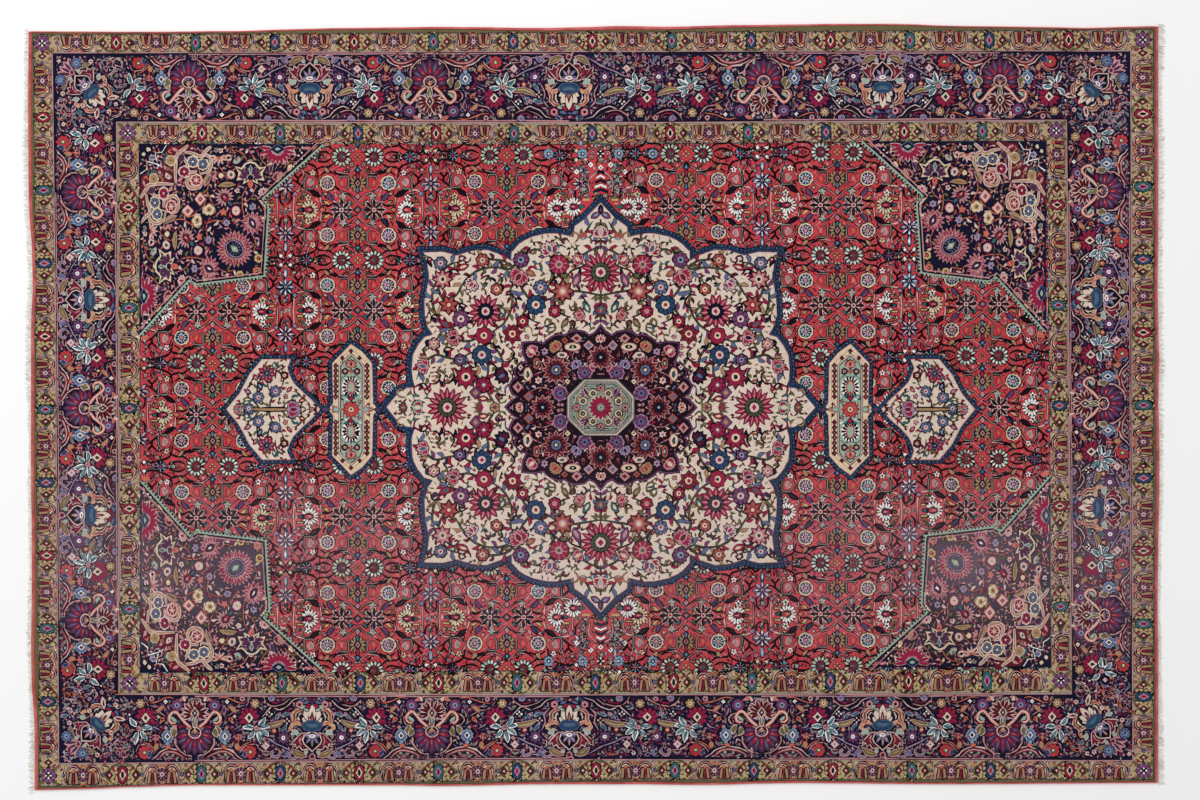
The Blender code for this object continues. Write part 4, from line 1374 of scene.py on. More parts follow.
def pendant():
    """The right-hand arrow and the cartouche beside it."""
    arrow = level_outline(ARROW_EDGE)
    motif = beaded(arrow, "ivory", 0.2)
    half = []
    for points in (
        (330, 330 + 8j, 324 + 18j, 318 + 24j), (340, 346 + 8j, 352 + 12j, 358 + 10j),
        (318 + 2j, 312 + 8j, 304 + 10j), (326 + 12j, 332 + 22j, 332 + 30j),
        (318 + 24j, 316 + 34j, 320 + 42j), (334 + 4j, 342 + 12j, 343 + 22j, 339 + 32j),
        (300 + 3j, 298 + 9j, 302 + 16j, 308 + 18j), (352 + 4j, 360 + 6j, 366 + 3j),
        (325 + 30j, 324 + 40j, 316 + 46j),
    ):
        half += leafy(points, 1.8, "moss", ("olive", "crimson", "teal", "maroon"), 4.4, 5)
    for at, flower in (
        (341.7 + 12j, rosette(5.4, 8, "slate", "blush", "crimson")),
        (324.7 + 18j, rosette(5.4, 8, "slate", "blush", "crimson")),
        (351.5 + 1j, rosette(5, 8, "slate", "blush", "crimson")),
        (333.7 + 36j, sun_flower(9, 9, "crimson", "slate", "navy", "rose")),
        (340.7 + 23.5j, bud(9, 4.6, "navy", "sky", 150)),
        (352.7 + 18j, bud(8, 4, "purple", "rose", 120)),
        (316 + 34j, rosette(4, 6, "maroon", "cream", "crimson")),
        (326 + 44j, bud(7, 3.6, "teal", "cream", 190)),
        (311 + 20j, bud(7, 3.6, "crimson", "rose", 220)),
        (298 + 9j, bud(6, 3.2, "crimson", "cream", 250)),
        (345 + 32j, bud(7, 3.4, "crimson", "rose", 150)),
    ):
        half += placed(flower, at)
    on_level = vine((313, 322, 348), 5.4, "ink", "tan", (0.6, 0.5))
    on_level += placed(lotus(12, "crimson", "lilac", "maroon", 270, 9), 305.7)
    on_level += placed(lotus(7, "crimson", "rose", "teal", 90), 363)
    half += between(half + on_level, arrow[:len(ARROW_EDGE)], IVORY_FILLERS[1:], 15)
    motif += half + [(np.conj(p), yarn) for p, yarn in half] + on_level
    frame_edge = level_outline(CARTOUCHE_EDGE)
    motif += beaded(frame_edge, "cream")
    panel = np.array([238 + 43j, 240.6 + 47j, 244.6 + 49.6j, 249.3 + 54j, 254 + 49.6j, 257.6 + 47j,
                      260 + 43j])
    panel = np.concatenate([panel, np.conj(panel[::-1])])
    lower = stroke([230.6 + 8j, 230.6 + 44j, 249.3 + 60.6j, 266 + 44j, 266 + 8j], 0.8, "rose", steps=1)
    for down in (12.8, 18, 23, 28.2, 33.5, 38.6, 43.5):
        for across in (233.4, 264.6):
            big = round(down * 10) % 50 > 25 or down in (23, 43.5, 12.8)
            jewel = edged(lozenge(2.2, 2.8, "maroon"), "ink", 0.5) + oval(0.6, "cream")
            lower += placed(jewel if big else lozenge(1.1, 1.3, "tan") + lozenge(0.5, 0.6, "ink"),
                            across + 1j * down)
    for at in (240.6 + 51.4j, 258 + 51.4j, 249.3 + 58.4j):
        lower += placed(edged(lozenge(2, 2.2, "maroon"), "ink", 0.5), at)
    lower += between(lower + [(grown(panel, 2.4), "ink")], frame_edge[:len(CARTOUCHE_EDGE)],
                     IVORY_FILLERS[2:], 16)
    motif += lower + [(np.conj(p), yarn) for p, yarn in lower]
    motif += [(grown(panel, 1.9), "ink"), (grown(panel, 1.3), "blush"), (grown(panel, 0.3), "moss"),
              (grown(panel, -0.8), "mint")]
    toothed = (
        oval(9.4, "white", down=11) + placed(fanned(16, 10.4, 2.4, "ink", base=4.6), across=0.9, down=1.16)
    )
    toothed += edged(edged(oval(3, "mint", down=5.6), "coral", 0.9), "maroon")
    toothed += leaf(6, 1.4, "crimson", at=-3j)
    inner = placed(toothed, 249.3 + 22j) + placed(edged(oval(2.2, "crimson")), 249.3 + 11.4j)
    for side in (-1, 1):
        inner += stroke([249.3 + side * 10 + 30j, 249.3 + side * 6 + 33.6j, 249.3 + 31.6j], 1, "moss",
                        (0.5, 0.8))
        inner += placed(rosette(3, 6, "maroon", "cream", "ink"), 249.3 + side * 6 + 38j)
        inner += edged(leaf(5, 2.2, "teal", at=249.3 + side * 2 + 13j, turn=side * 100), "ink", 0.4)
    inner += placed(lotus(7, "rose", "coral", "maroon", 180), 249.3 + 46j)
    inner += placed(floret("coral", "ink", 2.2), 249.3 + 38.4j)
    heart = edged(fanned(12, 8.8, 3.2, "madder", base=1.5)) + fanned(12, 7, 1, "coral", base=3)
    heart += oval(3.4, "ink") + oval(2.8, "cream") + oval(1.3, "crimson")
    space = np.array([240, 258.6, 258.6 + 43j, 249.3 + 51j, 240 + 43j])
    inner += between(inner + placed(heart, 249.3), space, PANEL_FILLERS, 17)
    motif += inner + [(np.conj(p), yarn) for p, yarn in inner] + placed(heart, 249.3)
    for across in (234.4, 264.2):
        motif += edged(edged(lozenge(3.4, 2.6, "mint", at=across), "moss"), "rose")
    for across in (275, 221.5):
        motif += edged(lozenge(5, 3.6, "blue", at=across)) + lozenge(2, 1.4, "crimson", at=across)
    return motif


# The dark corner pieces, drawn for the top left corner, in knots from the corner of the field

CORNER_EDGE = (0, 183.7, 122.4 + 55j, 128.8 + 62.6j, 124.4 + 131.5j, 57.4 + 139.8j, 49.7 + 135.3j, 191j)


CORNER_FILLERS = (
    (4, [twig(12, "coral", ("rose", "olive", "blush", "crimson")),
         twig(12, "rose", ("crimson", "pewter", "blush", "coral")), floret("blush", "crimson", 3.2, 5),
         floret("coral", "cream", 3), twig(12, "coral", ("tan", "maroon", "rose", "blush")),
         lotus(6, "crimson", "blush", "cream"), floret("pewter", "maroon", 3, 5)]),
    (2.6, [twig(8, "coral", ("olive", "rose", "blush")), twig(8, "rose", ("blush", "crimson", "tan")),
           floret("tan", "ink", 2), twig(8, "maroon", ("rose", "pewter", "coral")),
           edged(leaf(7, 2.8, "rose", at=3j), "crimson")]),
    (1.6,
     blades(2j, (4.6, 1.5, "rose"), (4.6, 1.4, "coral"), (4.4, 1.4, "moss"), (4.6, 1.4, "blush"),
            (4.4, 1.5, "crimson"), (4.4, 1.4, "tan"))),
)


def over_diagonal(motif):
    """The motif and its mirror image over the corner's diagonal, a little stretched downwards."""
    return motif + [(0.88 * p.imag + 1.1j * p.real, yarn) for p, yarn in motif]


def corner_palmette():
    """The jagged open flower with a bulb at its foot."""
    half = np.array([-12.5j, 5 - 11j, 9.5 - 6j, 16 - 7.5j, 11.5 - 0.5j, 14 + 6.5j, 6.5 + 6j, 8 + 10.5j,
                     1 + 7j])
    jagged = np.concatenate([half, -np.conj(half[:0:-1])])
    motif = [(grown(jagged, 0.7), "ink"), (jagged, "cream"), (grown(jagged, -1.7), "navy")]
    motif += edged(fanned(7, 12, 4, "plum", spread=170, at=4j, base=3), "rose", 0.5)
    motif += leaf(10, 3.4, "mint", at=1j)
    motif += leaf(7, 1.6, "teal", at=-1j) + edged(oval(3, "navy", at=4j), "blush", 0.5)
    return motif + edged(leaf(9, 5.4, "coral", at=6j, turn=180), "maroon") + oval(1.2, "crimson", at=9.4j)


def ringed_flower(heart, petal, ring):
    """A small flower in a ring, as on the corner pieces."""
    return (
        edged(edged(lobed(8, 4.6, heart), "ink", 0.5), ring, 1.2) + fanned(6, 4.2, 1.1, petal)
        + oval(1.3, ring)
    )


def corner_piece():
    """A dark corner piece, its outer corner at 0, drawn for the top left one."""
    edge = np.array(CORNER_EDGE)
    patch = [(np.array([29 + 2j, 58, 50 + 9j, 37 + 12j, 36.5 + 39.5j, 20 + 24j, 24 + 14j]), "maroon")]
    half = vine([27 + 1j, 22.7 + 8.2j, 15.7 + 8.8j, 18.3 + 21.2j, 21 + 26j], 2, "ink", "white", (1, 1), 1)
    half += edged(leaf(8, 3.4, "slate", at=12 + 19j), "blush")
    half += edged(oval(2, "cream", at=9 + 5j), "ink", 0.8)
    half += stroke([26 + 8j, 28 + 12j, 24 + 15j, 26 + 20j], 1.6, "teal")
    half += stroke([31 + 5j, 29 + 8j, 32 + 9j], 1.5, "coral")
    half += placed(edged(leaf(8, 5, "blush", at=4j)) + oval(1.2, "ink"), 29 + 32j, 135)
    for points in (
        [49 + 1j, 43 + 6j, 37 + 11j, 36 + 22j, 36.3 + 39j],
        [45 + 8j, 53 + 9j, 60 + 12j, 67 + 11j, 72 + 18j, 69 + 27j, 60 + 30j],
        [42 + 10j, 48 + 20j, 46 + 27j, 52 + 28j, 58 + 27j], [62 + 12j, 67 + 6j, 72 + 2j],
        [50 + 30j, 47 + 38j, 51 + 44j, 60 + 43j, 63 + 35j],
    ):
        half += vine(points, 3.6, "blush", "tan", (0.7, 0.5))
    half += edged(oval(4.6, "tan", at=31.3 + 16.2j), "cream", 0.7) + oval(1.6, "olive", at=31.3 + 16.2j)
    half += edged(leaf(9, 6, "plum", at=40.5 + 18j, turn=20), "tan")
    for points in (
        [70 + 36j, 68 + 48j, 73 + 60j, 70 + 70j], [107 + 43j, 103 + 52j, 103 + 64j, 105 + 74j],
        [124 + 39j, 132 + 41j, 140 + 47j], [103 + 60j, 111 + 54j, 115 + 47j], [79 + 22j, 84 + 28j, 88 + 36j],
        [96 + 24j, 89 + 29j, 83 + 34j], [92 + 86j, 84 + 78j, 76 + 76j, 66 + 80j],
        [113 + 91j, 116 + 98j, 114 + 108j], [96 + 6j, 104 + 10j, 108 + 18j],
        [118 + 8j, 124 + 18j, 131 + 24j], [144 + 24j, 150 + 18j, 160 + 8j], [62 + 48j, 66 + 58j, 60 + 66j],
    ):
        half += leafy(points, 2, "coral", ("rose", "olive", "blush", "crimson", "tan"), 6.4, 6.4)
    for at, flower in (
        (53.3 + 17.5j, ringed_flower("slate", "navy", "cream")),
        (63.4 + 20j, ringed_flower("slate", "navy", "cream")),
        (44.7 + 27.5j, ringed_flower("crimson", "ink", "blush")),
        (56.7 + 36j, edged(ringed_flower("crimson", "cream", "blush"), "coral", 0.8)),
        (60.7 + 54.8j,
         edged(lozenge(5, 6, "blush"), "coral", 0.9) + lozenge(2.6, 3, "crimson") + oval(0.9, "mint")),
        (111 + 29.5j, corner_palmette()),
        (79 + 13j,
         fanned(7, 8.5, 2.4, "blush", spread=200, turn=180, base=1)
         + fanned(7, 7.4, 1, "coral", spread=200, turn=180)),
        (89 + 13.5j, edged(oval(3.2, "blush"), "coral") + oval(1.7, "ink")),
        (97 + 15.5j, edged(leaf(8, 5, "mint", at=-3 + 3j, turn=60), "rose") + oval(1.3, "moss")),
        (81.5 + 31.5j, edged(oval(2.6, "cream"), "maroon", 0.8)),
        (91.5 + 30.5j,
         edged(oval(3.4, "blush", down=4, turn=-30), "rose", 0.7) + oval(1.7, "moss", down=2.2)),
        (69 + 35j,
         edged(leaf(16, 5, "tan", at=-4 + 7j, turn=27, bend=-1), "rose")
         + leaf(12, 1.8, "moss", at=-3 + 6j, turn=27)),
        (87 + 41j,
         edged(leaf(19, 5.6, "tan", at=-9 + 1j, turn=86, bend=-1.4), "ink", 0.7)
         + leaf(14, 1.3, "olive", at=-6, turn=86)),
        (85 + 53j, redyed(placed(comb_palmette(), turn=50), {"white": "rose"})),
        (113 + 79j,
         edged(fanned(14, 12.4, 3, "rose", base=3), "maroon", 0.5) + fanned(14, 11, 1.5, "crimson", base=5)
         + oval(3.2, "ink", down=6, turn=-25) + oval(2.3, "plum", down=5, turn=-25)
         + oval(1, "white", down=2.4, turn=-25)),
        (124 + 65j, stroke([-4 - 9j, 1 - 5j, 4 + 1j, 2 + 8j, -2 + 9j], 3.8, "cream", (0.2, 0.5))),
        (113 + 62.5j, floret("lilac", "teal", 4.4, 6)),
        (96.5 + 66.5j,
         edged(oval(4, "blush", down=4.6), "crimson", 0.7) + leaf(5, 2.6, "cream", at=2.6j)
         + oval(0.8, "ink")),
        (84 + 68j, edged(star(5, 4.4, "coral", inner=0.5), "maroon", 0.5)),
        (69.5 + 65.5j,
         edged(lobed(5, 5.6, "cream", dent=0.3), "tan", 0.7) + lobed(5, 3.2, "tan") + oval(1.2, "ink")),
        (87 + 78.5j, floret("lilac", "slate", 4.4, 7)),
        (124 + 47j, lotus(8, "rose", "blush", "crimson", 0)),
        (140 + 32j, edged(lotus(10, "maroon", "rose", "tan", 20, 9), "maroon", 0.4)),
        (149.5 + 24j, edged(leaf(8, 4.4, "cream", at=-1 + 3j, turn=25), "maroon")),
        (156.4 + 22j, four_dots("white", "crimson", 2.8)),
        (162 + 11.5j, four_dots("white", "crimson", 2.8)),
        (138 + 5j,
         edged(fanned(11, 16, 3.6, "crimson", spread=190, turn=180, base=5, droop=-0.2), "blush", 0.5)
         + edged(lozenge(7, 4.4, "navy"), "slate", 0.8) + lozenge(3.4, 2, "mint")),
        (173 + 5j, fanned(5, 7, 2.2, "coral", spread=100, turn=110)),
        (130 + 24.5j, edged(leaf(9, 3.4, "plum", at=4j, turn=20), "lilac", 0.5)),
        (119 + 114j, edged(lobed(6, 4.6, "straw"), "ink", 0.5) + oval(2.4, "maroon") + oval(1.2, "coral")),
    ):
        half += placed(flower, at)
    upper = np.array([2 + 3j, *edge[1:4], 124.4 + 131.5j, 94 + 104j])
    upper[1:5] -= (6, 6, 5, 4)
    half += between(half + oval(22, "ink", at=95 + 104.5j), upper, CORNER_FILLERS, 14)
    motif = [(edge, "navy")] + over_diagonal(patch + half)
    motif += placed(edged(lobed(6, 4.4, "coral"), "ink", 0.5) + oval(2, "navy") + oval(1, "straw"),
                    117 + 126.5j)
    heart = (
        edged(fanned(26, 18.6, 3, "rose", base=8), "maroon", 0.5) + fanned(26, 17, 1.7, "crimson", base=10)
    )
    heart += oval(10.4, "ink", down=8.8) + oval(9.6, "lilac", down=8) + oval(8.8, "navy", down=7.2)
    heart += fanned(12, 7, 1.4, "slate", base=3.6) + edged(lozenge(5, 3, "mint"), "moss", 0.7)
    heart += lozenge(2, 1.2, "cream")
    motif += placed(heart, 95 + 104.5j, turn=42)
    band = edge[1:]
    tooth = [(np.array([-2.2, 2.2, -4.8j]), "ink"), (np.array([-1.5, 1.5, -3.7j]), "mint")]
    motif += stroke(band, 4.2, "ink", steps=1) + strung(band, 3.7, tooth)
    motif += stroke(band, 1.5, "mint", steps=1)
    motif += stroke([band[0] - 3j - 4, *(grown(edge, -3.2)[2:-1]), band[-1] - 2 - 4j], 1.1, "rose", steps=1)
    motif += strung(grown(edge, -3.2)[2:-1], 3.2, oval(0.8, "ink", at=-1.7j))
    return motif


# The whole design


# Stripes along the frame lines, each yarn from so many knots outside its line inwards
STRIPES = (
    (RUG_EDGE, ((-1.6, "ink"), (-2.2, "pewter"), (-3.2, "gold"))),
    (OUTER_LINE, ((2, "pewter"), (1, "rose"), (0.2, "ink"), (-0.6, "navy"))),
    (INNER_LINE, ((1.2, "ink"), (0.4, "rose"), (-0.6, "pewter"), (-2, "gold"))),
    (FIELD_LINE, ((1.6, "pewter"), (0.6, "ink"), (0, "field"))),
)


def grounds():
    """Flat colours under the motifs, from the rug's edge inwards."""
    paper = np.array([0, PAPER.real, PAPER, 1j * PAPER.imag])
    stripes = [(grown(line, by), yarn) for line, yarns in STRIPES for by, yarn in yarns]
    return [(paper, "olive")] + stripes


def inside(line, motif):
    """Only the shapes whose middle lies inside a frame line."""
    low, high = min(z.real for z in line), max(z.real for z in line)
    top, foot = min(z.imag for z in line), max(z.imag for z in line)
    return [s for s in motif if low < s[0].real.mean() < high and top < s[0].imag.mean() < foot]


CORNERS = ((0, 1, 1), (2, -1, 1), (4, -1, -1), (6, 1, -1))  # place in a frame line, across, down


def large_forms():
    """The grounds and the largest forms, which show on the back as well."""
    forms = grounds()
    for k, across, down in CORNERS:
        forms += placed([(np.array(CORNER_EDGE), "navy")], FIELD_LINE[k], across=across, down=down)
    for across in (-1, 1):
        for line in (level_outline(ARROW_EDGE), level_outline(CARTOUCHE_EDGE)):
            forms += placed([(grown(line, 4), "blue"), (line, "ivory")], MEDALLION + 2j, across=across)
    for quarter, rim, yarn in ((IVORY_EDGE, "blue", "ivory"), (DARK_EDGE, "crimson", "aubergine")):
        line = all_round(quarter, MEDALLION)
        forms += [(grown(line, 4), rim), (line, yarn)]
    return forms


def whole_design():
    """Every shape of the rug, the grounds first."""
    motif = inside(FIELD_LINE, field())
    corner = corner_piece()
    for k, across, down in CORNERS:
        motif += placed(corner, FIELD_LINE[k], across=across, down=down)
    for across in (-1, 1):
        motif += placed(pendant(), MEDALLION + 2j, across=across)
    motif += medallion()
    design = grounds() + motif
    ring = main_border()
    for k, across, down in CORNERS:
        ring += placed(border_corner(), OUTER_LINE[k], across=across, down=down)
    around = [grown(np.array(line), by) for line, by in ((OUTER_LINE, -2.5), (INNER_LINE, 3))]
    space = np.concatenate([line[[*range(8), 0]] for line in around])
    design += ring + between(ring, space, BORDER_FILLERS, 40)
    design += guard(np.array(RUG_EDGE), OUTER_LINE) + guard(INNER_LINE, FIELD_LINE)
    return design


# Knotting: the design is cut along its colour changes, so that each patch of yarn is its own faces


class Patch:
    """A shape of one yarn, ready to be asked which spots it covers."""

    def __init__(self, points, yarn=0):
        self.points = p = np.asarray(points, complex)
        self.yarn = yarn
        self.low, self.high = p.real.min() + 1j * p.imag.min(), p.real.max() + 1j * p.imag.max()
        self.ahead = ahead = following(p)
        self.foot = ahead.imag
        rise = np.where(self.foot == p.imag, 1e-9, self.foot - p.imag)
        self.slope = (ahead.real - p.real) / rise
        self.start = p.real - self.slope * p.imag

    def covers(self, spots):
        """Which of the spots lie in the outline: row by row where there are many."""
        if len(spots) * len(self.points) < 20000:
            down = spots.imag[:, None]
            passed = (self.points.imag > down) != (self.foot > down)
            left = spots.real[:, None] < self.start + self.slope * down
            return np.logical_xor.reduce(passed & left, axis=1)
        order = np.argsort(spots.imag)
        across, down = spots.real[order], spots.imag[order]
        tops = np.searchsorted(down, np.minimum(self.points.imag, self.foot))
        feet = np.searchsorted(down, np.maximum(self.points.imag, self.foot))
        held = np.zeros(len(spots), bool)
        for k in np.nonzero(feet > tops)[0]:
            rows = slice(tops[k], feet[k])
            held[rows] ^= across[rows] < self.start[k] + self.slope[k] * down[rows]
        found = np.empty_like(held)
        found[order] = held
        return found


def away_from(spots, patch):
    """How far inside a patch's box each spot lies."""
    low, high = spots - patch.low, patch.high - spots
    return np.minimum(np.minimum(low.real, high.real), np.minimum(low.imag, high.imag))


def coloured(middles, shapes, first):
    """The yarn of the topmost shape over each point."""
    order = np.argsort(middles.real)
    line = middles[order]
    down = line.imag.copy()
    found = np.full(len(line), first)
    shapes = shapes[::-1]
    ends = [[s.low.real for s in shapes], [s.high.real for s in shapes]]
    starts, stops = np.searchsorted(line.real, ends)
    for shape, start, stop in zip(shapes, starts, stops):
        part = down[start:stop]
        near = start + np.nonzero((part > shape.low.imag) & (part < shape.high.imag))[0]
        near = near[shape.covers(line[near])]
        found[near] = shape.yarn
        down[near] = np.nan  # settled, so that no shape further down is asked
    back = np.empty_like(found)
    back[order] = found
    return back


def clipped(a, b, low, high):
    """Segments cut to a rectangle."""
    way = b - a
    start, stop = np.zeros(len(a)), np.ones(len(a))
    for near, step, least, most in (
        (a.real, way.real, low.real, high.real), (a.imag, way.imag, low.imag, high.imag)
    ):
        still = abs(step) < 1e-9
        slope = np.where(still, 1, step)
        one, two = (least - near) / slope, (most - near) / slope
        start = np.maximum(start, np.where(still, 0, np.minimum(one, two)))
        stop = np.minimum(stop, np.where(still, 1, np.maximum(one, two)))
        stop = np.where(still & ((near < least) | (near > most)), -1, stop)
    keep = stop - start > 1e-6
    return (a + start * way)[keep], (a + stop * way)[keep]


GRID = 3  # the finest step of the drawing is a third of a knot


def triangulated(a, b):
    """Triangles between the segments: their corners, as complex numbers, and the corner numbers."""
    ends = np.round(np.concatenate([a, b]) * GRID) / GRID
    spots, number = np.unique(ends, return_inverse=True)
    pairs = np.unique(np.sort(number.reshape(2, -1).T, axis=1), axis=0)
    pairs = pairs[pairs[:, 0] != pairs[:, 1]]
    verts = [Vector((z.real, z.imag)) for z in spots]
    out = delaunay_2d_cdt(verts, pairs.tolist(), [], 0, 1e-4, False)
    corners = np.array([v[:] for v in out[0]])
    faces = [(f[0], f[k], f[k + 1]) for f in out[2] for k in range(1, len(f) - 1)]
    return corners[:, 0] + 1j * corners[:, 1], np.array(faces)


def straightened(spots, edges, slack=0.5):
    """The colour changes without the spots that lie nearly on a line between their neighbours."""
    for _ in range(4):
        flat = edges.ravel()
        degree = np.bincount(flat, minlength=len(spots))
        order = np.argsort(flat, kind="stable")
        other = flat[order ^ 1]
        first = np.cumsum(degree) - degree
        mid = np.nonzero(degree == 2)[0]
        one, two = other[first[mid]], other[first[mid] + 1]
        way = spots[two] - spots[one]
        off = abs(((spots[mid] - spots[one]) * np.conj(way)).imag) / np.maximum(abs(way), 1e-9)
        fits = (off < slack) & (one != two)
        mark = np.zeros(len(spots), bool)
        mark[mid[fits]] = True
        fits &= ~((mark[one] & (one < mid)) | (mark[two] & (two < mid)))
        gone = np.zeros(len(spots), bool)
        gone[mid[fits]] = True
        edges = np.concatenate([edges[~gone[edges].any(1)], np.column_stack([one, two])[fits]])
    return spots[edges[:, 0]], spots[edges[:, 1]]


UNEVEN = 12  # knots: the rug's edge strays less than this from its box


def knotted(shapes, low, high, rug, rim):
    """The design within a rectangle as triangles, each with its yarn, and only inside the rug."""
    near = [s for s in shapes if s.low.real < high.real and s.high.real > low.real
            and s.low.imag < high.imag and s.high.imag > low.imag]
    a = np.concatenate([s.points for s in near])
    b = np.concatenate([s.ahead for s in near])
    box = np.array([low, high.real + 1j * low.imag, high, low.real + 1j * high.imag])
    bounds_a, bounds_b = [box], [np.roll(box, -1)]
    for line in (rug, rim):
        one, two = clipped(line, np.roll(line, -1), low, high)
        bounds_a.append(one)
        bounds_b.append(two)
    bounds_a, bounds_b = np.concatenate(bounds_a), np.concatenate(bounds_b)
    whole = Patch(rug)
    a, b = clipped(a, b, low, high)
    for _ in range(2):
        spots, faces = triangulated(np.concatenate([a, bounds_a]), np.concatenate([b, bounds_b]))
        middles = spots[faces].mean(1)
        yarns = coloured(middles, near, 0)
        edge = np.nonzero(away_from(middles, whole) < UNEVEN)[0]
        yarns[edge[~whole.covers(middles[edge])]] = -1
        edges = np.sort(np.concatenate([faces[:, [0, 1]], faces[:, [1, 2]], faces[:, [2, 0]]]), axis=1)
        owner = np.tile(yarns, 3)
        order = np.lexsort((edges[:, 1], edges[:, 0]))
        edges, owner = edges[order], owner[order]
        twin = np.all(edges[1:] == edges[:-1], axis=1)
        change = np.nonzero(twin & (owner[1:] != owner[:-1]))[0]
        a, b = straightened(spots, edges[change])
    keep = yarns >= 0
    return spots, faces[keep], yarns[keep]


# Real sizes and dyes


def dye(name, description, red, green, blue):
    """A yarn's colour as it looks, 0 to 255."""
    linear = [((c / 255 + 0.055) / 1.055) ** 2.4 if c > 10 else c / 3294 for c in (red, green, blue)]
    return bpy.props.FloatVectorProperty(
        name=name, description=description, subtype="COLOR", size=3, min=0, max=1, default=linear
    )


def metres(name, description, default):
    """A length that can be set in the panel."""
    return bpy.props.FloatProperty(name=name, description=description, default=default, min=0, unit="LENGTH")


class RugYarns(bpy.types.PropertyGroup):
    """Dyes of the pile yarns."""

    field: dye("Field red", "Ground of the field", 202, 68, 75)
    ink: dye("Ink", "Outlines of nearly all motifs", 22, 13, 19)
    navy: dye("Navy", "Ground of the main border and corner pieces", 23, 22, 48)
    aubergine: dye("Aubergine", "Ground of the dark medallion", 34, 18, 31)
    plum: dye("Plum", "Large petals of the main border", 78, 46, 74)
    purple: dye("Purple", "Rosettes of the main border", 116, 66, 106)
    lilac: dye("Lilac", "Pale purple petals", 170, 142, 170)
    crimson: dye("Crimson", "Cochineal red flowers", 152, 36, 68)
    maroon: dye("Maroon", "Dark red leaves", 98, 32, 44)
    madder: dye("Madder", "Bright red flowers", 190, 62, 66)
    coral: dye("Coral", "Orange stems and curls", 206, 112, 92)
    rust: dye("Rust", "Faded orange-brown petals", 170, 88, 78)
    rose: dye("Rose", "Pink contour lines", 198, 144, 146)
    blush: dye("Blush", "Palest pink", 224, 193, 184)
    ivory: dye("Ivory", "Ground of the medallion", 230, 212, 194)
    cream: dye("Cream", "Small pale details", 228, 208, 174)
    white: dye("White", "Lightest details", 250, 244, 238)
    gold: dye("Gold", "Ground of the guard borders", 188, 167, 126)
    straw: dye("Straw", "Yellow details", 202, 178, 122)
    tan: dye("Tan", "Camel leaves", 172, 138, 104)
    olive: dye("Olive", "Greenish brown leaves", 112, 104, 70)
    moss: dye("Moss", "Dark green stems", 78, 88, 68)
    teal: dye("Teal", "Blue-green leaves", 56, 106, 112)
    mint: dye("Mint", "Pale green palmettes", 162, 182, 166)
    sky: dye("Sky", "Light blue petals", 134, 158, 182)
    slate: dye("Slate", "Grey-blue rosettes", 98, 108, 142)
    blue: dye("Blue", "Band round the medallion", 44, 70, 102)
    pewter: dye("Pewter", "Greenish grey lines", 138, 140, 132)


class RugSizes(bpy.types.PropertyGroup):
    """Sizes that a weaver would choose."""

    backing: metres("Backing", "Thickness of the foundation under the pile", 0.0018)
    shoulder: metres("Shoulder", "Width of the worn rim of the pile", 0.002)
    wear: metres("Wear", "How much lower the pile is where it is most worn", 0.0005)
    wrap: metres("Wrap", "Pitch of the wrapping of the side cords", 0.0036)
    weft: metres("Weft", "Pitch of the weft in the end bands", 0.0030)
    strand: metres("Strand", "Distance between the strands of the fringe", 0.0021)


YARN_NAMES = list(RugYarns.__annotations__)
LOOSE_DYES = ("field", "madder", "rose", "coral", "gold", "navy")  # the yarns whose dye varies most


# Materials


class Value:
    """A socket that takes part in sums."""

    def __init__(self, nodes, socket):
        self.nodes, self.socket = nodes, socket

    def _with(self, operation, *others):
        return self.nodes.add("ShaderNodeMath", {"operation": operation}, self, *others)

    def __add__(self, other):
        return self._with("ADD", other)

    def __mul__(self, other):
        return self._with("MULTIPLY", other)

    def __sub__(self, other):
        return self._with("SUBTRACT", other)

    def __rsub__(self, other):
        return self.nodes.add("ShaderNodeMath", {"operation": "SUBTRACT"}, other, self)

    __radd__ = __add__
    __rmul__ = __mul__


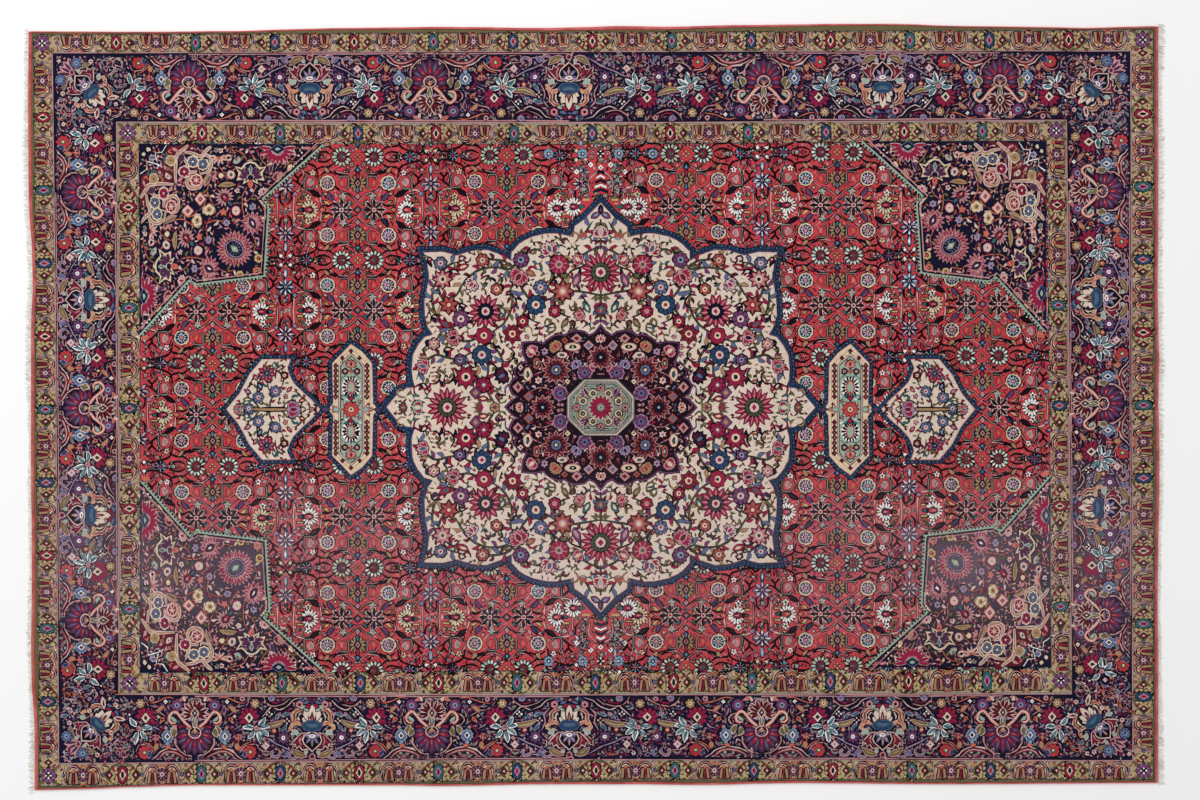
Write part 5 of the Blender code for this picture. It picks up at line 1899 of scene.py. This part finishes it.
class Finish:
    """A material's nodes round one Principled shader."""

    def __init__(self, name, roughness, sheen=0.0):
        self.material = bpy.data.materials.new(name)
        self.material.use_nodes = True
        self.tree = self.material.node_tree
        self.shader = self.tree.nodes["Principled BSDF"]
        self.shader.inputs["Roughness"].default_value = roughness
        self.shader.inputs["Specular IOR Level"].default_value = 0.06
        self.shader.inputs["Sheen Weight"].default_value = sheen
        self.shader.inputs["Sheen Roughness"].default_value = 0.6

    def add(self, kind, settings=None, *inputs, output=0, **named):
        """A node with its settings and inputs, and the output that is asked for."""
        node = self.tree.nodes.new(kind)
        for key, value in (settings or {}).items():
            setattr(node, key, value)
        for key, value in [*enumerate(inputs), *named.items()]:
            self.feed(node.inputs[key if isinstance(key, int) else key.replace("_", " ")], value)
        return Value(self, node.outputs[output])

    def feed(self, socket, value):
        """Links a node's output to a socket or sets the socket's value."""
        if isinstance(value, Value):
            self.tree.links.new(value.socket, socket)
        else:
            socket.default_value = value

    def place(self):
        """The place on the rug, in metres."""
        return self.add("ShaderNodeTexCoord", output="Object")

    def ramp(self, value, stops):
        """The value as a colour between the given stops."""
        node = self.tree.nodes.new("ShaderNodeValToRGB")
        while len(node.color_ramp.elements) < len(stops):
            node.color_ramp.elements.new(0.5)
        for element, (at, colour) in zip(node.color_ramp.elements, stops):
            element.position, element.color = at, (*colour, 1)
        self.feed(node.inputs[0], value)
        return Value(self, node.outputs[0])

    def mix(self, factor, one, two, blend="MIX"):
        """Two colours mixed, or blended in another way."""
        node = self.tree.nodes.new("ShaderNodeMix")
        node.data_type, node.blend_type = "RGBA", blend
        for key, value in ((0, factor), (6, one), (7, two)):
            self.feed(node.inputs[key], value)
        return Value(self, node.outputs[2])

    def bump(self, height, distance, strength):
        """Relief on the surface, that many metres high."""
        normal = self.add("ShaderNodeBump", None, Strength=strength, Distance=distance, Height=height)
        self.feed(self.shader.inputs["Normal"], normal)

    def without_sign(self, value):
        """How far the value is from zero."""
        return self.add("ShaderNodeMath", {"operation": "ABSOLUTE"}, value)

    def scaled(self, place, *scale):
        """A place stretched by a factor for each axis."""
        return self.add("ShaderNodeVectorMath", {"operation": "MULTIPLY"}, place, scale)

    def knots(self, place):
        """The knot that a place lies in, and a number by chance for each knot."""
        squares = self.scaled(place, 1 / KNOT, 1 / KNOT, 0)
        knot = self.add("ShaderNodeVectorMath", {"operation": "FLOOR"}, squares)
        return knot, self.add("ShaderNodeTexWhiteNoise", {"noise_dimensions": "2D"}, knot, output="Value")


DULLEST_KNOT = 0.70  # of the dye's own brightness
KNOT_SPREAD, LOT_SPREAD, WEAR_SPREAD = 0.24, 1.3, 0.14  # how much knots, dye lots and wear differ
PALE_ACROSS, PALE_NARROWNESS = 0.40, 3.4  # the paler stretch, metres below the middle
PALE_WOOL = (0.46, 0.32, 0.38, 1)


def pile_finish():
    """Cut wool: the yarn's dye, uneven from knot to knot and from dye lot to dye lot."""
    wool = Finish("cut_pile", 0.95, 0.02)
    yarn = wool.add("ShaderNodeAttribute", {"attribute_name": "yarn"}, output="Color")
    loose = wool.add("ShaderNodeAttribute", {"attribute_name": "yarn"}, output="Alpha")
    place = wool.place()
    chance = wool.knots(place)[1]
    rows = wool.scaled(place, 9, 0.25, 0)
    lots = wool.add("ShaderNodeTexNoise", {"noise_dimensions": "2D"}, rows, Scale=1.0, Detail=3.0,
                    Roughness=0.6)
    worn = wool.add("ShaderNodeTexNoise", {"noise_dimensions": "2D"}, place, Scale=3.2, Detail=2.0,
                    Roughness=0.5)
    light = DULLEST_KNOT + chance * KNOT_SPREAD + (lots - 0.5) * (loose * LOT_SPREAD)
    light = light + (worn - 0.5) * WEAR_SPREAD
    shade = wool.mix(lots, (1.08, 0.97, 0.90, 1), (0.95, 1.01, 1.10, 1))
    grey = wool.add("ShaderNodeCombineColor", None, light, light, light)
    dyed = wool.mix(1.0, wool.mix(1.0, yarn, grey, "MULTIPLY"), shade, "MULTIPLY")
    south = wool.add("ShaderNodeSeparateXYZ", None, place, output=1)
    faded = 1 - wool.without_sign((south + PALE_ACROSS) * PALE_NARROWNESS)
    faded = wool.add("ShaderNodeMath", {"operation": "MAXIMUM"}, faded * worn * loose * 0.9, 0.0)
    wool.feed(wool.shader.inputs["Base Color"], wool.mix(faded, dyed, PALE_WOOL))
    tuft = wool.add("ShaderNodeTexVoronoi", {"feature": "F1"},
                    wool.scaled(place, 1 / KNOT, 1 / KNOT, 1 / KNOT),
                    Scale=1.0, Randomness=0.55, output="Distance")
    wool.bump(1 - tuft + chance * 0.25, 0.0006, 0.6)
    return wool.material


CORD_DYES = ((0.36, 0.055, 0.06), (0.60, 0.105, 0.105), (0.68, 0.22, 0.20))  # dark, usual and faded red


def woven_finish(name, dyes, fade):
    """Wrapped or flat-woven yarn, faded in patches that far apart."""
    wool = Finish(name, 0.9, 0.2)
    place = wool.place()
    patches = wool.add("ShaderNodeTexNoise", None, place, Scale=0.6 / fade, Detail=4.0, Roughness=0.7)
    fibres = wool.add("ShaderNodeTexNoise", None, wool.scaled(place, 1, 1, 3), Scale=900.0, Detail=2.0)
    tone = wool.ramp(patches + (fibres - 0.5) * 0.35, [(0.3, dyes[0]), (0.5, dyes[1]), (0.72, dyes[2])])
    wool.feed(wool.shader.inputs["Base Color"], tone)
    wool.bump(fibres, 0.0004, 0.7)
    return wool.material


def back_finish():
    """The back: rows of knots that show the dyes of the design, mixed where small motifs lie."""
    wool = Finish("knot_back", 0.95, 0.03)
    yarn = wool.add("ShaderNodeAttribute", {"attribute_name": "yarn"}, output="Color")
    place = wool.place()
    knot, chance = wool.knots(place)
    motifs = wool.add("ShaderNodeTexNoise", {"noise_dimensions": "2D"}, knot, Scale=0.16, Detail=2.0)
    stops = [(0.40, (0.02, 0.012, 0.018)), (0.52, (0.20, 0.06, 0.07)), (0.66, (0.46, 0.30, 0.26))]
    tone = wool.ramp(motifs + (chance - 0.5) * 0.16, stops)
    off = wool.without_sign(motifs - 0.5)
    inked = wool.add("ShaderNodeMath", {"operation": "GREATER_THAN"}, off * 8, 0.5)
    wool.feed(wool.shader.inputs["Base Color"], wool.mix(inked * 0.75, yarn, tone))
    bead = wool.add("ShaderNodeTexVoronoi", {"feature": "F1"}, wool.scaled(place, 1 / KNOT, 1 / KNOT, 1),
                    Scale=1.0, Randomness=0.2, output="Distance")
    wool.bump(1 - bead, 0.0008, 0.8)
    return wool.material


def cotton_finish():
    """Undyed warp yarn, greyed by use."""
    cotton = Finish("warp_cotton", 0.9, 0.2)
    place = cotton.place()
    patches = cotton.add("ShaderNodeTexNoise", None, place, Scale=30.0, Detail=4.0, Roughness=0.7)
    fibres = cotton.add("ShaderNodeTexNoise", None, cotton.scaled(place, 1, 4, 4), Scale=500.0,
                        Detail=2.0)
    tone = cotton.ramp(patches + (fibres - 0.5) * 0.4,
                       [(0.3, (0.50, 0.45, 0.38)), (0.5, (0.74, 0.70, 0.63)), (0.7, (0.86, 0.84, 0.80))])
    cotton.feed(cotton.shader.inputs["Base Color"], tone)
    cotton.bump(fibres, 0.0003, 0.6)
    return cotton.material


# Pieces


def finished(name, mesh, material, node):
    """An object that rides on the rug and stands for a solid."""
    piece = bpy.data.objects.new(name, mesh)
    bpy.context.scene.collection.objects.link(piece)
    mesh.materials.append(material)
    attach(piece, "root")
    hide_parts(node)
    return piece


def pile_outline():
    """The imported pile's outline at floor level, in metres, as complex numbers, counterclockwise."""
    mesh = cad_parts["pile_body"].data
    spots = np.array([v.co[:] for v in mesh.vertices])
    low = np.unique(np.round(spots[spots[:, 2] < 1e-4][:, :2], 6), axis=0)
    ring = low[:, 0] + 1j * low[:, 1]
    return ring[np.argsort(np.angle(ring))]


def to_paper(spots):
    """Places on the rug, in metres, as squares of the weaver's paper."""
    return RUG_MIDDLE + np.conj(spots) / KNOT


def to_metres(squares):
    """Squares of the weaver's paper as places on the rug, in metres."""
    return np.conj(squares - RUG_MIDDLE) * KNOT


SMALLEST = 0.7  # squares: a shape with less area can't be knotted


def prepared(design):
    """The design's shapes, ready for knotting, without those too small for it."""
    number = {name: k for k, name in enumerate(YARN_NAMES)}
    return [Patch(points, number[yarn]) for points, yarn in design if abs(area(points)) > SMALLEST]


def distance_to(line, spots):
    """How far each spot lies from a closed line."""
    far = np.full(len(spots), np.inf)
    for a, b in zip(line, np.roll(line, -1)):
        way = b - a
        share = np.clip(((spots - a) * np.conj(way)).real / abs(way) ** 2, 0, 1)
        far = np.minimum(far, abs(spots - a - share * way))
    return far


def slab(name, spots, faces, yarns, heights, floor, dyes):
    """A closed slab: the knotted faces on top, walls down to a level, and a plain underside."""
    mesh = bpy.data.meshes.new(name)
    used, number = np.unique(faces, return_inverse=True)
    place = to_metres(spots[used])
    points = np.column_stack([place.real, place.imag, heights[used]])
    corners = number.reshape(-1, 3)[:, ::-1]
    mesh.from_pydata(points.tolist(), [], corners.tolist())
    mesh.attributes.new("yarn_number", "INT", "FACE").data.foreach_set("value", yarns.astype(np.int32))
    made = bmesh.new()
    made.from_mesh(mesh)
    rim = [e for e in made.edges if e.is_boundary]
    down = bmesh.ops.extrude_edge_only(made, edges=rim)["geom"]
    for part in down:
        if isinstance(part, bmesh.types.BMVert):
            part.co.z = floor
    foot = [e for e in down if isinstance(e, bmesh.types.BMEdge) and e.is_boundary]
    bmesh.ops.edgenet_fill(made, edges=foot)
    bmesh.ops.recalc_face_normals(made, faces=made.faces)
    made.to_mesh(mesh)
    made.free()
    owner = np.zeros(len(mesh.polygons), np.int32)
    mesh.attributes["yarn_number"].data.foreach_get("value", owner)
    size = np.zeros(len(mesh.polygons), np.int32)
    mesh.polygons.foreach_get("loop_total", size)
    colour = np.array([(*dyes[n], 0.45 if n in LOOSE_DYES else 0.12) for n in YARN_NAMES])
    paint = mesh.color_attributes.new("yarn", "FLOAT_COLOR", "CORNER")
    paint.data.foreach_set("color", colour[np.repeat(owner, size)].astype(np.float32).ravel())
    mesh.attributes.remove(mesh.attributes["yarn_number"])
    bake_map(mesh, floor)
    return mesh


def bake_map(mesh, floor):
    """A flat map seen from above, its walls folded outwards and its underside shrunk to a corner."""
    spots = np.empty(len(mesh.vertices) * 3)
    mesh.vertices.foreach_get("co", spots)
    spots = spots.reshape(-1, 3)
    low, high = spots[:, :2].min(0), spots[:, :2].max(0)
    middle, reach = (low + high) / 2, (high - low).max() * 1.03
    flat = (spots[:, :2] - middle) / reach
    flat = np.where(spots[:, 2:] <= floor + 1e-6, flat * 1.02, flat) + 0.5
    owner = np.empty(len(mesh.loops), np.int32)
    mesh.loops.foreach_get("vertex_index", owner)
    uv = flat[owner]
    for face in mesh.polygons:
        if face.loop_total > 3 and face.normal.z < -0.5:
            uv[face.loop_indices] = uv[face.loop_indices] * 0.002 + 0.001
    layer = mesh.uv_layers.new(name="OFBake")
    layer.data.foreach_set("uv", uv.astype(np.float32).ravel())


ACROSS, DOWN = 3, 2  # the pile and the back are made in this many pieces
BACK_GAP = 0.0003  # metres between the back and the pile above it
EDGE_DROP = 0.002  # metres that the pile's outermost edge lies lower


def pieces_of(context, word, design, material, height_at, floor):
    """The design knotted in pieces, each of them a slab down to the floor level."""
    sizes, yarns = context.scene.rug_sizes, context.scene.rug_yarns
    dyes = {name: tuple(getattr(yarns, name)) for name in YARN_NAMES}
    shapes = prepared(design)
    rug = to_paper(pile_outline())
    rim = grown(rug, -sizes.shoulder / KNOT)
    low = min(rug.real) - 1 + 1j * (min(rug.imag) - 1)
    high = max(rug.real) + 1 + 1j * (max(rug.imag) + 1)
    for row in range(DOWN):
        for column in range(ACROSS):
            start = low + (high - low).real * column / ACROSS + 1j * (high - low).imag * row / DOWN
            stop = start + (high - low).real / ACROSS + 1j * (high - low).imag / DOWN
            spots, faces, owner = knotted(shapes, start, stop, rug, rim)
            heights = height_at(to_metres(spots), distance_to(rug, spots) * KNOT)
            name = f"{word}_{row + 1}_{column + 1}"
            piece = finished(name, slab(name, spots, faces, owner, heights, floor, dyes), material,
                             "pile_body")
            yield piece


class RUG_OT_back(bpy.types.Operator):
    """Weaves the back under the pile, piece by piece, in the colours of the large forms"""

    bl_idname = "rug.back"
    bl_label = "Weave the back"

    def execute(self, context):
        thick = context.scene.rug_sizes.backing - BACK_GAP

        def height_at(place, far):
            return np.full(len(far), thick)

        for piece in pieces_of(context, "back", large_forms(), back_finish(), height_at, 0.0):
            piece.data.transform(Matrix(((1, 0, 0, 0), (0, 1, 0, 0), (0, 0, -1, thick), (0, 0, 0, 1))))
            piece.data.flip_normals()
        return {"FINISHED"}


class RUG_OT_pile(bpy.types.Operator):
    """Knots the pile, piece by piece, from the design"""

    bl_idname = "rug.pile"
    bl_label = "Knot the pile"

    def execute(self, context):
        sizes = context.scene.rug_sizes
        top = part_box("pile_body")[1].z

        def height_at(place, far):
            drop = EDGE_DROP * (1 - np.clip(far / sizes.shoulder, 0, 1)) ** 1.5
            wave = np.sin(place.real * 5.1 + 1) * np.sin(place.imag * 6.3 + 2)
            wave = wave + np.sin(place.real * 2.3 - 0.7)
            inner = np.clip(far / 0.02 - 0.2, 0, 1)
            return top - drop - sizes.wear * inner * (0.5 + wave / 4)

        list(pieces_of(context, "pile", whole_design(), pile_finish(), height_at, sizes.backing))
        return {"FINISHED"}


def side_lines(node, along):
    """How far a solid reaches across, at places along the x axis (0) or the y axis (1)."""
    spots = np.array([v.co[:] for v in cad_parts[node].data.vertices])
    place = np.round(spots[:, along], 4)
    places = np.unique(place)
    across = [spots[place == p][:, 1 - along] for p in places]
    return places, np.array([a.min() for a in across]), np.array([a.max() for a in across])


def tubes(name, rings):
    """A mesh of tubes from the rings of each, given as tubes by rings by corners by x, y, z."""
    count = np.arange(rings.size // 3).reshape(rings.shape[:3])
    near, far = count[:, :-1], count[:, 1:]
    sides = np.stack([near, np.roll(near, -1, 2), np.roll(far, -1, 2), far], -1).reshape(-1, 4)
    mesh = bpy.data.meshes.new(name)
    ends = count[:, 0, ::-1].tolist() + count[:, -1].tolist()
    mesh.from_pydata(rings.reshape(-1, 3).tolist(), [], sides.tolist() + ends)
    mesh.validate()
    return mesh


def parts(start, stop, count):
    """The ends of so many equal parts."""
    ends = np.linspace(start, stop, count + 1)
    return zip(ends[:-1], ends[1:])


class RUG_OT_cords(bpy.types.Operator):
    """Wraps the side cords with red wool, slightly slanting round the outer warps"""

    bl_idname = "rug.cords"
    bl_label = "Wrap the side cords"

    def execute(self, context):
        sizes = context.scene.rug_sizes
        material = woven_finish("wrapped_wool", CORD_DYES, 0.05)
        turn = 2 * np.pi * np.arange(8) / 8
        for node in ("side_cord_north", "side_cord_south"):
            places, low, high = side_lines(node, 0)
            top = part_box(node)[1].z
            for k, (start, stop) in enumerate(parts(places[0], places[-1], 3)):
                wraps = round((stop - start) / sizes.wrap)
                x = np.linspace(start, stop, 2 * wraps + 1)[:, None]
                middle, half = np.interp(x, places, (low + high) / 2), np.interp(x, places, (high - low) / 2)
                swell = np.where(np.arange(len(x)) % 2, 1, 0.88)[:, None] * (1 + 0.03 * np.sin(x * 41))
                free = np.clip(np.minimum(x - start, stop - x) / 0.01, 0, 1)  # 0 where a piece ends
                slant = sizes.wrap * (turn / 2 / np.pi - 0.5) * free
                ring = np.stack([x + slant, middle + half * swell * np.cos(turn),
                                 np.clip(top / 2 + top / 2 * swell * np.sin(turn), 0, top)], -1)
                name = f"{node}_{k + 1}"
                mesh = tubes(name, ring[None])
                mesh.shade_smooth()
                finished(name, mesh, material, node)
        return {"FINISHED"}


class RUG_OT_bands(bpy.types.Operator):
    """Weaves the flat red bands at both ends"""

    bl_idname = "rug.bands"
    bl_label = "Weave the end bands"

    def execute(self, context):
        sizes = context.scene.rug_sizes
        material = woven_finish("flat_weave", CORD_DYES, 0.03)
        for node in ("end_band_west", "end_band_east"):
            places, low, high = side_lines(node, 1)
            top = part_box(node)[1].z
            across = np.array([0, 0.03, 0.27, 0.5, 0.73, 0.97, 1, 0.5])
            level = np.array([0.3, 0.86, 1, 1, 1, 0.86, 0.3, 0])
            for k, (start, stop) in enumerate(parts(places[0], places[-1], 2)):
                rows = round((stop - start) / sizes.weft * 2)
                y = np.linspace(start, stop, rows + 1)[:, None]
                one, two = np.interp(y, places, low), np.interp(y, places, high)
                over = (np.arange(len(y))[:, None] + np.arange(len(level))) % 2 * (level == 1)
                ring = np.stack([one + (two - one) * across, y + 0 * across,
                                 top * (level - 0.14 * over)], -1)
                name = f"{node}_{k + 1}"
                finished(name, tubes(name, ring[None]), material, node)
        return {"FINISHED"}


class RUG_OT_fringe(bpy.types.Operator):
    """Lays the worn warp ends out beyond each end band"""

    bl_idname = "rug.fringe"
    bl_label = "Lay the fringe"

    def execute(self, context):
        sizes = context.scene.rug_sizes
        chance = np.random.default_rng(4)
        material = cotton_finish()
        corner = 2 * np.pi * np.arange(3) / 3
        for side, way in (("west", -1), ("east", 1)):
            node = f"fringe_{side}"
            low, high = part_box(node)
            spots = np.array([v.co[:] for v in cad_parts[node].data.vertices])
            tips = spots[(spots[:, 2] > 0.001) & (spots[:, 2] < 0.002)]
            tips = tips[np.argsort(tips[:, 1])]
            places, one, two = side_lines(f"end_band_{side}", 1)
            band = one if way < 0 else two
            for k, (start, stop) in enumerate(parts(low.y + 0.004, high.y - 0.004, 2)):
                count = round((stop - start) / sizes.strand)
                y = np.linspace(start, stop, count) + chance.normal(0, sizes.strand * 0.3, count)
                root = np.interp(y, places, band) + way * 0.0002
                reach = np.interp(y, tips[:, 1], tips[:, 0]) - root
                reach = reach * chance.uniform(0.62, 1.08, count)
                lean = chance.normal(0, 0.22, count) + 0.25 * np.sin(y * 37) + 0.2 * np.sin(y * 83 + 1)
                lift = chance.uniform(0.0008, 0.0021, count)
                share = np.array([0, 0.3, 0.6, 0.85, 1])
                bend = chance.normal(0, 0.0012, count)
                x = root[:, None] + reach[:, None] * share
                ys = y[:, None] + abs(reach)[:, None] * lean[:, None] * share**1.4
                ys = ys + bend[:, None] * np.sin(share * 5)
                ys = np.clip(ys, low.y, high.y)
                z = lift[:, None] * (1 - 0.3 * share) + 0.0002
                thick = chance.uniform(0.0007, 0.0011, count)[:, None] * np.array([1, 1, 0.9, 0.7, 0.25])
                ring = np.stack([x[..., None] + 0 * corner,
                                 ys[..., None] + thick[..., None] * np.cos(corner),
                                 z[..., None] + thick[..., None] * 0.62 * np.sin(corner)], -1)
                ring[..., 2] = np.maximum(ring[..., 2], 0.0001)
                name = f"{node}_{k + 1}"
                finished(name, tubes(name, ring), material, node)
        return {"FINISHED"}


FLOOR_REACH = 12  # metres
SKY_STRENGTH = 0.56
SOFTBOX_WATTS, SOFTBOX_SIZE, SOFTBOX_PLACE = 228, 6, (-1.6, 2.2, 5.6)
LENS = 85


class RUG_OT_stage(bpy.types.Operator):
    """Lays a plain pale floor, soft studio light and the camera straight above"""

    bl_idname = "rug.stage"
    bl_label = "Set the stage"

    def execute(self, context):
        scene = context.scene
        made = bmesh.new()
        bmesh.ops.create_grid(made, x_segments=1, y_segments=1, size=FLOOR_REACH)
        mesh = bpy.data.meshes.new("floor")
        made.to_mesh(mesh)
        made.free()
        floor = bpy.data.objects.new("floor", mesh)
        scene.collection.objects.link(floor)
        paper = Finish("studio_paper", 0.95)
        spots = paper.add("ShaderNodeTexNoise", None, paper.place(), Scale=0.6, Detail=1.0)
        paper.feed(paper.shader.inputs["Base Color"],
                   paper.mix(spots, (0.97, 0.97, 0.97, 1), (0.99, 0.99, 0.99, 1)))
        mesh.materials.append(paper.material)
        world = bpy.data.worlds.new("studio")
        world.use_nodes = True
        world.node_tree.nodes["Background"].inputs["Color"].default_value = (1, 1, 1, 1)
        world.node_tree.nodes["Background"].inputs["Strength"].default_value = SKY_STRENGTH
        scene.world = world
        light = bpy.data.lights.new("softbox", "AREA")
        light.energy, light.size = SOFTBOX_WATTS, SOFTBOX_SIZE
        lamp = bpy.data.objects.new("softbox", light)
        lamp.location = SOFTBOX_PLACE
        lamp.rotation_euler = (-lamp.location).to_track_quat("-Z", "Y").to_euler()
        scene.collection.objects.link(lamp)
        view = bpy.data.cameras.new("camera")
        view.lens = LENS
        camera = bpy.data.objects.new("camera", view)
        middle = to_metres(PAPER / 2)
        width = PAPER.real * KNOT
        camera.location = (middle.real, middle.imag, width / 2 / (view.sensor_width / 2 / view.lens))
        view.clip_end = 100
        scene.collection.objects.link(camera)
        scene.camera = camera
        scene.view_settings.view_transform = "Standard"
        return {"FINISHED"}


class RUG_PT_panel(bpy.types.Panel):
    bl_label = "Persian rug"
    bl_idname = "RUG_PT_panel"
    bl_space_type = "VIEW_3D"
    bl_region_type = "UI"
    bl_category = "Rug"

    def draw(self, context):
        for step in STEPS:
            self.layout.operator(step.bl_idname)
        for group in (context.scene.rug_sizes, context.scene.rug_yarns):
            for name in group.__annotations__:
                self.layout.prop(group, name)


STEPS = (RUG_OT_back, RUG_OT_pile, RUG_OT_cords, RUG_OT_bands, RUG_OT_fringe, RUG_OT_stage)
CLASSES = (RugYarns, RugSizes, *STEPS, RUG_PT_panel)


def register():
    for kind in CLASSES:
        bpy.utils.register_class(kind)
    bpy.types.Scene.rug_yarns = bpy.props.PointerProperty(type=RugYarns)
    bpy.types.Scene.rug_sizes = bpy.props.PointerProperty(type=RugSizes)


def unregister():
    del bpy.types.Scene.rug_sizes
    del bpy.types.Scene.rug_yarns
    for kind in reversed(CLASSES):
        bpy.utils.unregister_class(kind)


def main():
    register()
    bpy.ops.rug.back()
    bpy.ops.rug.pile()
    bpy.ops.rug.cords()
    bpy.ops.rug.bands()
    bpy.ops.rug.fringe()
    bpy.ops.rug.stage()


if __name__ == "__main__":
    main()
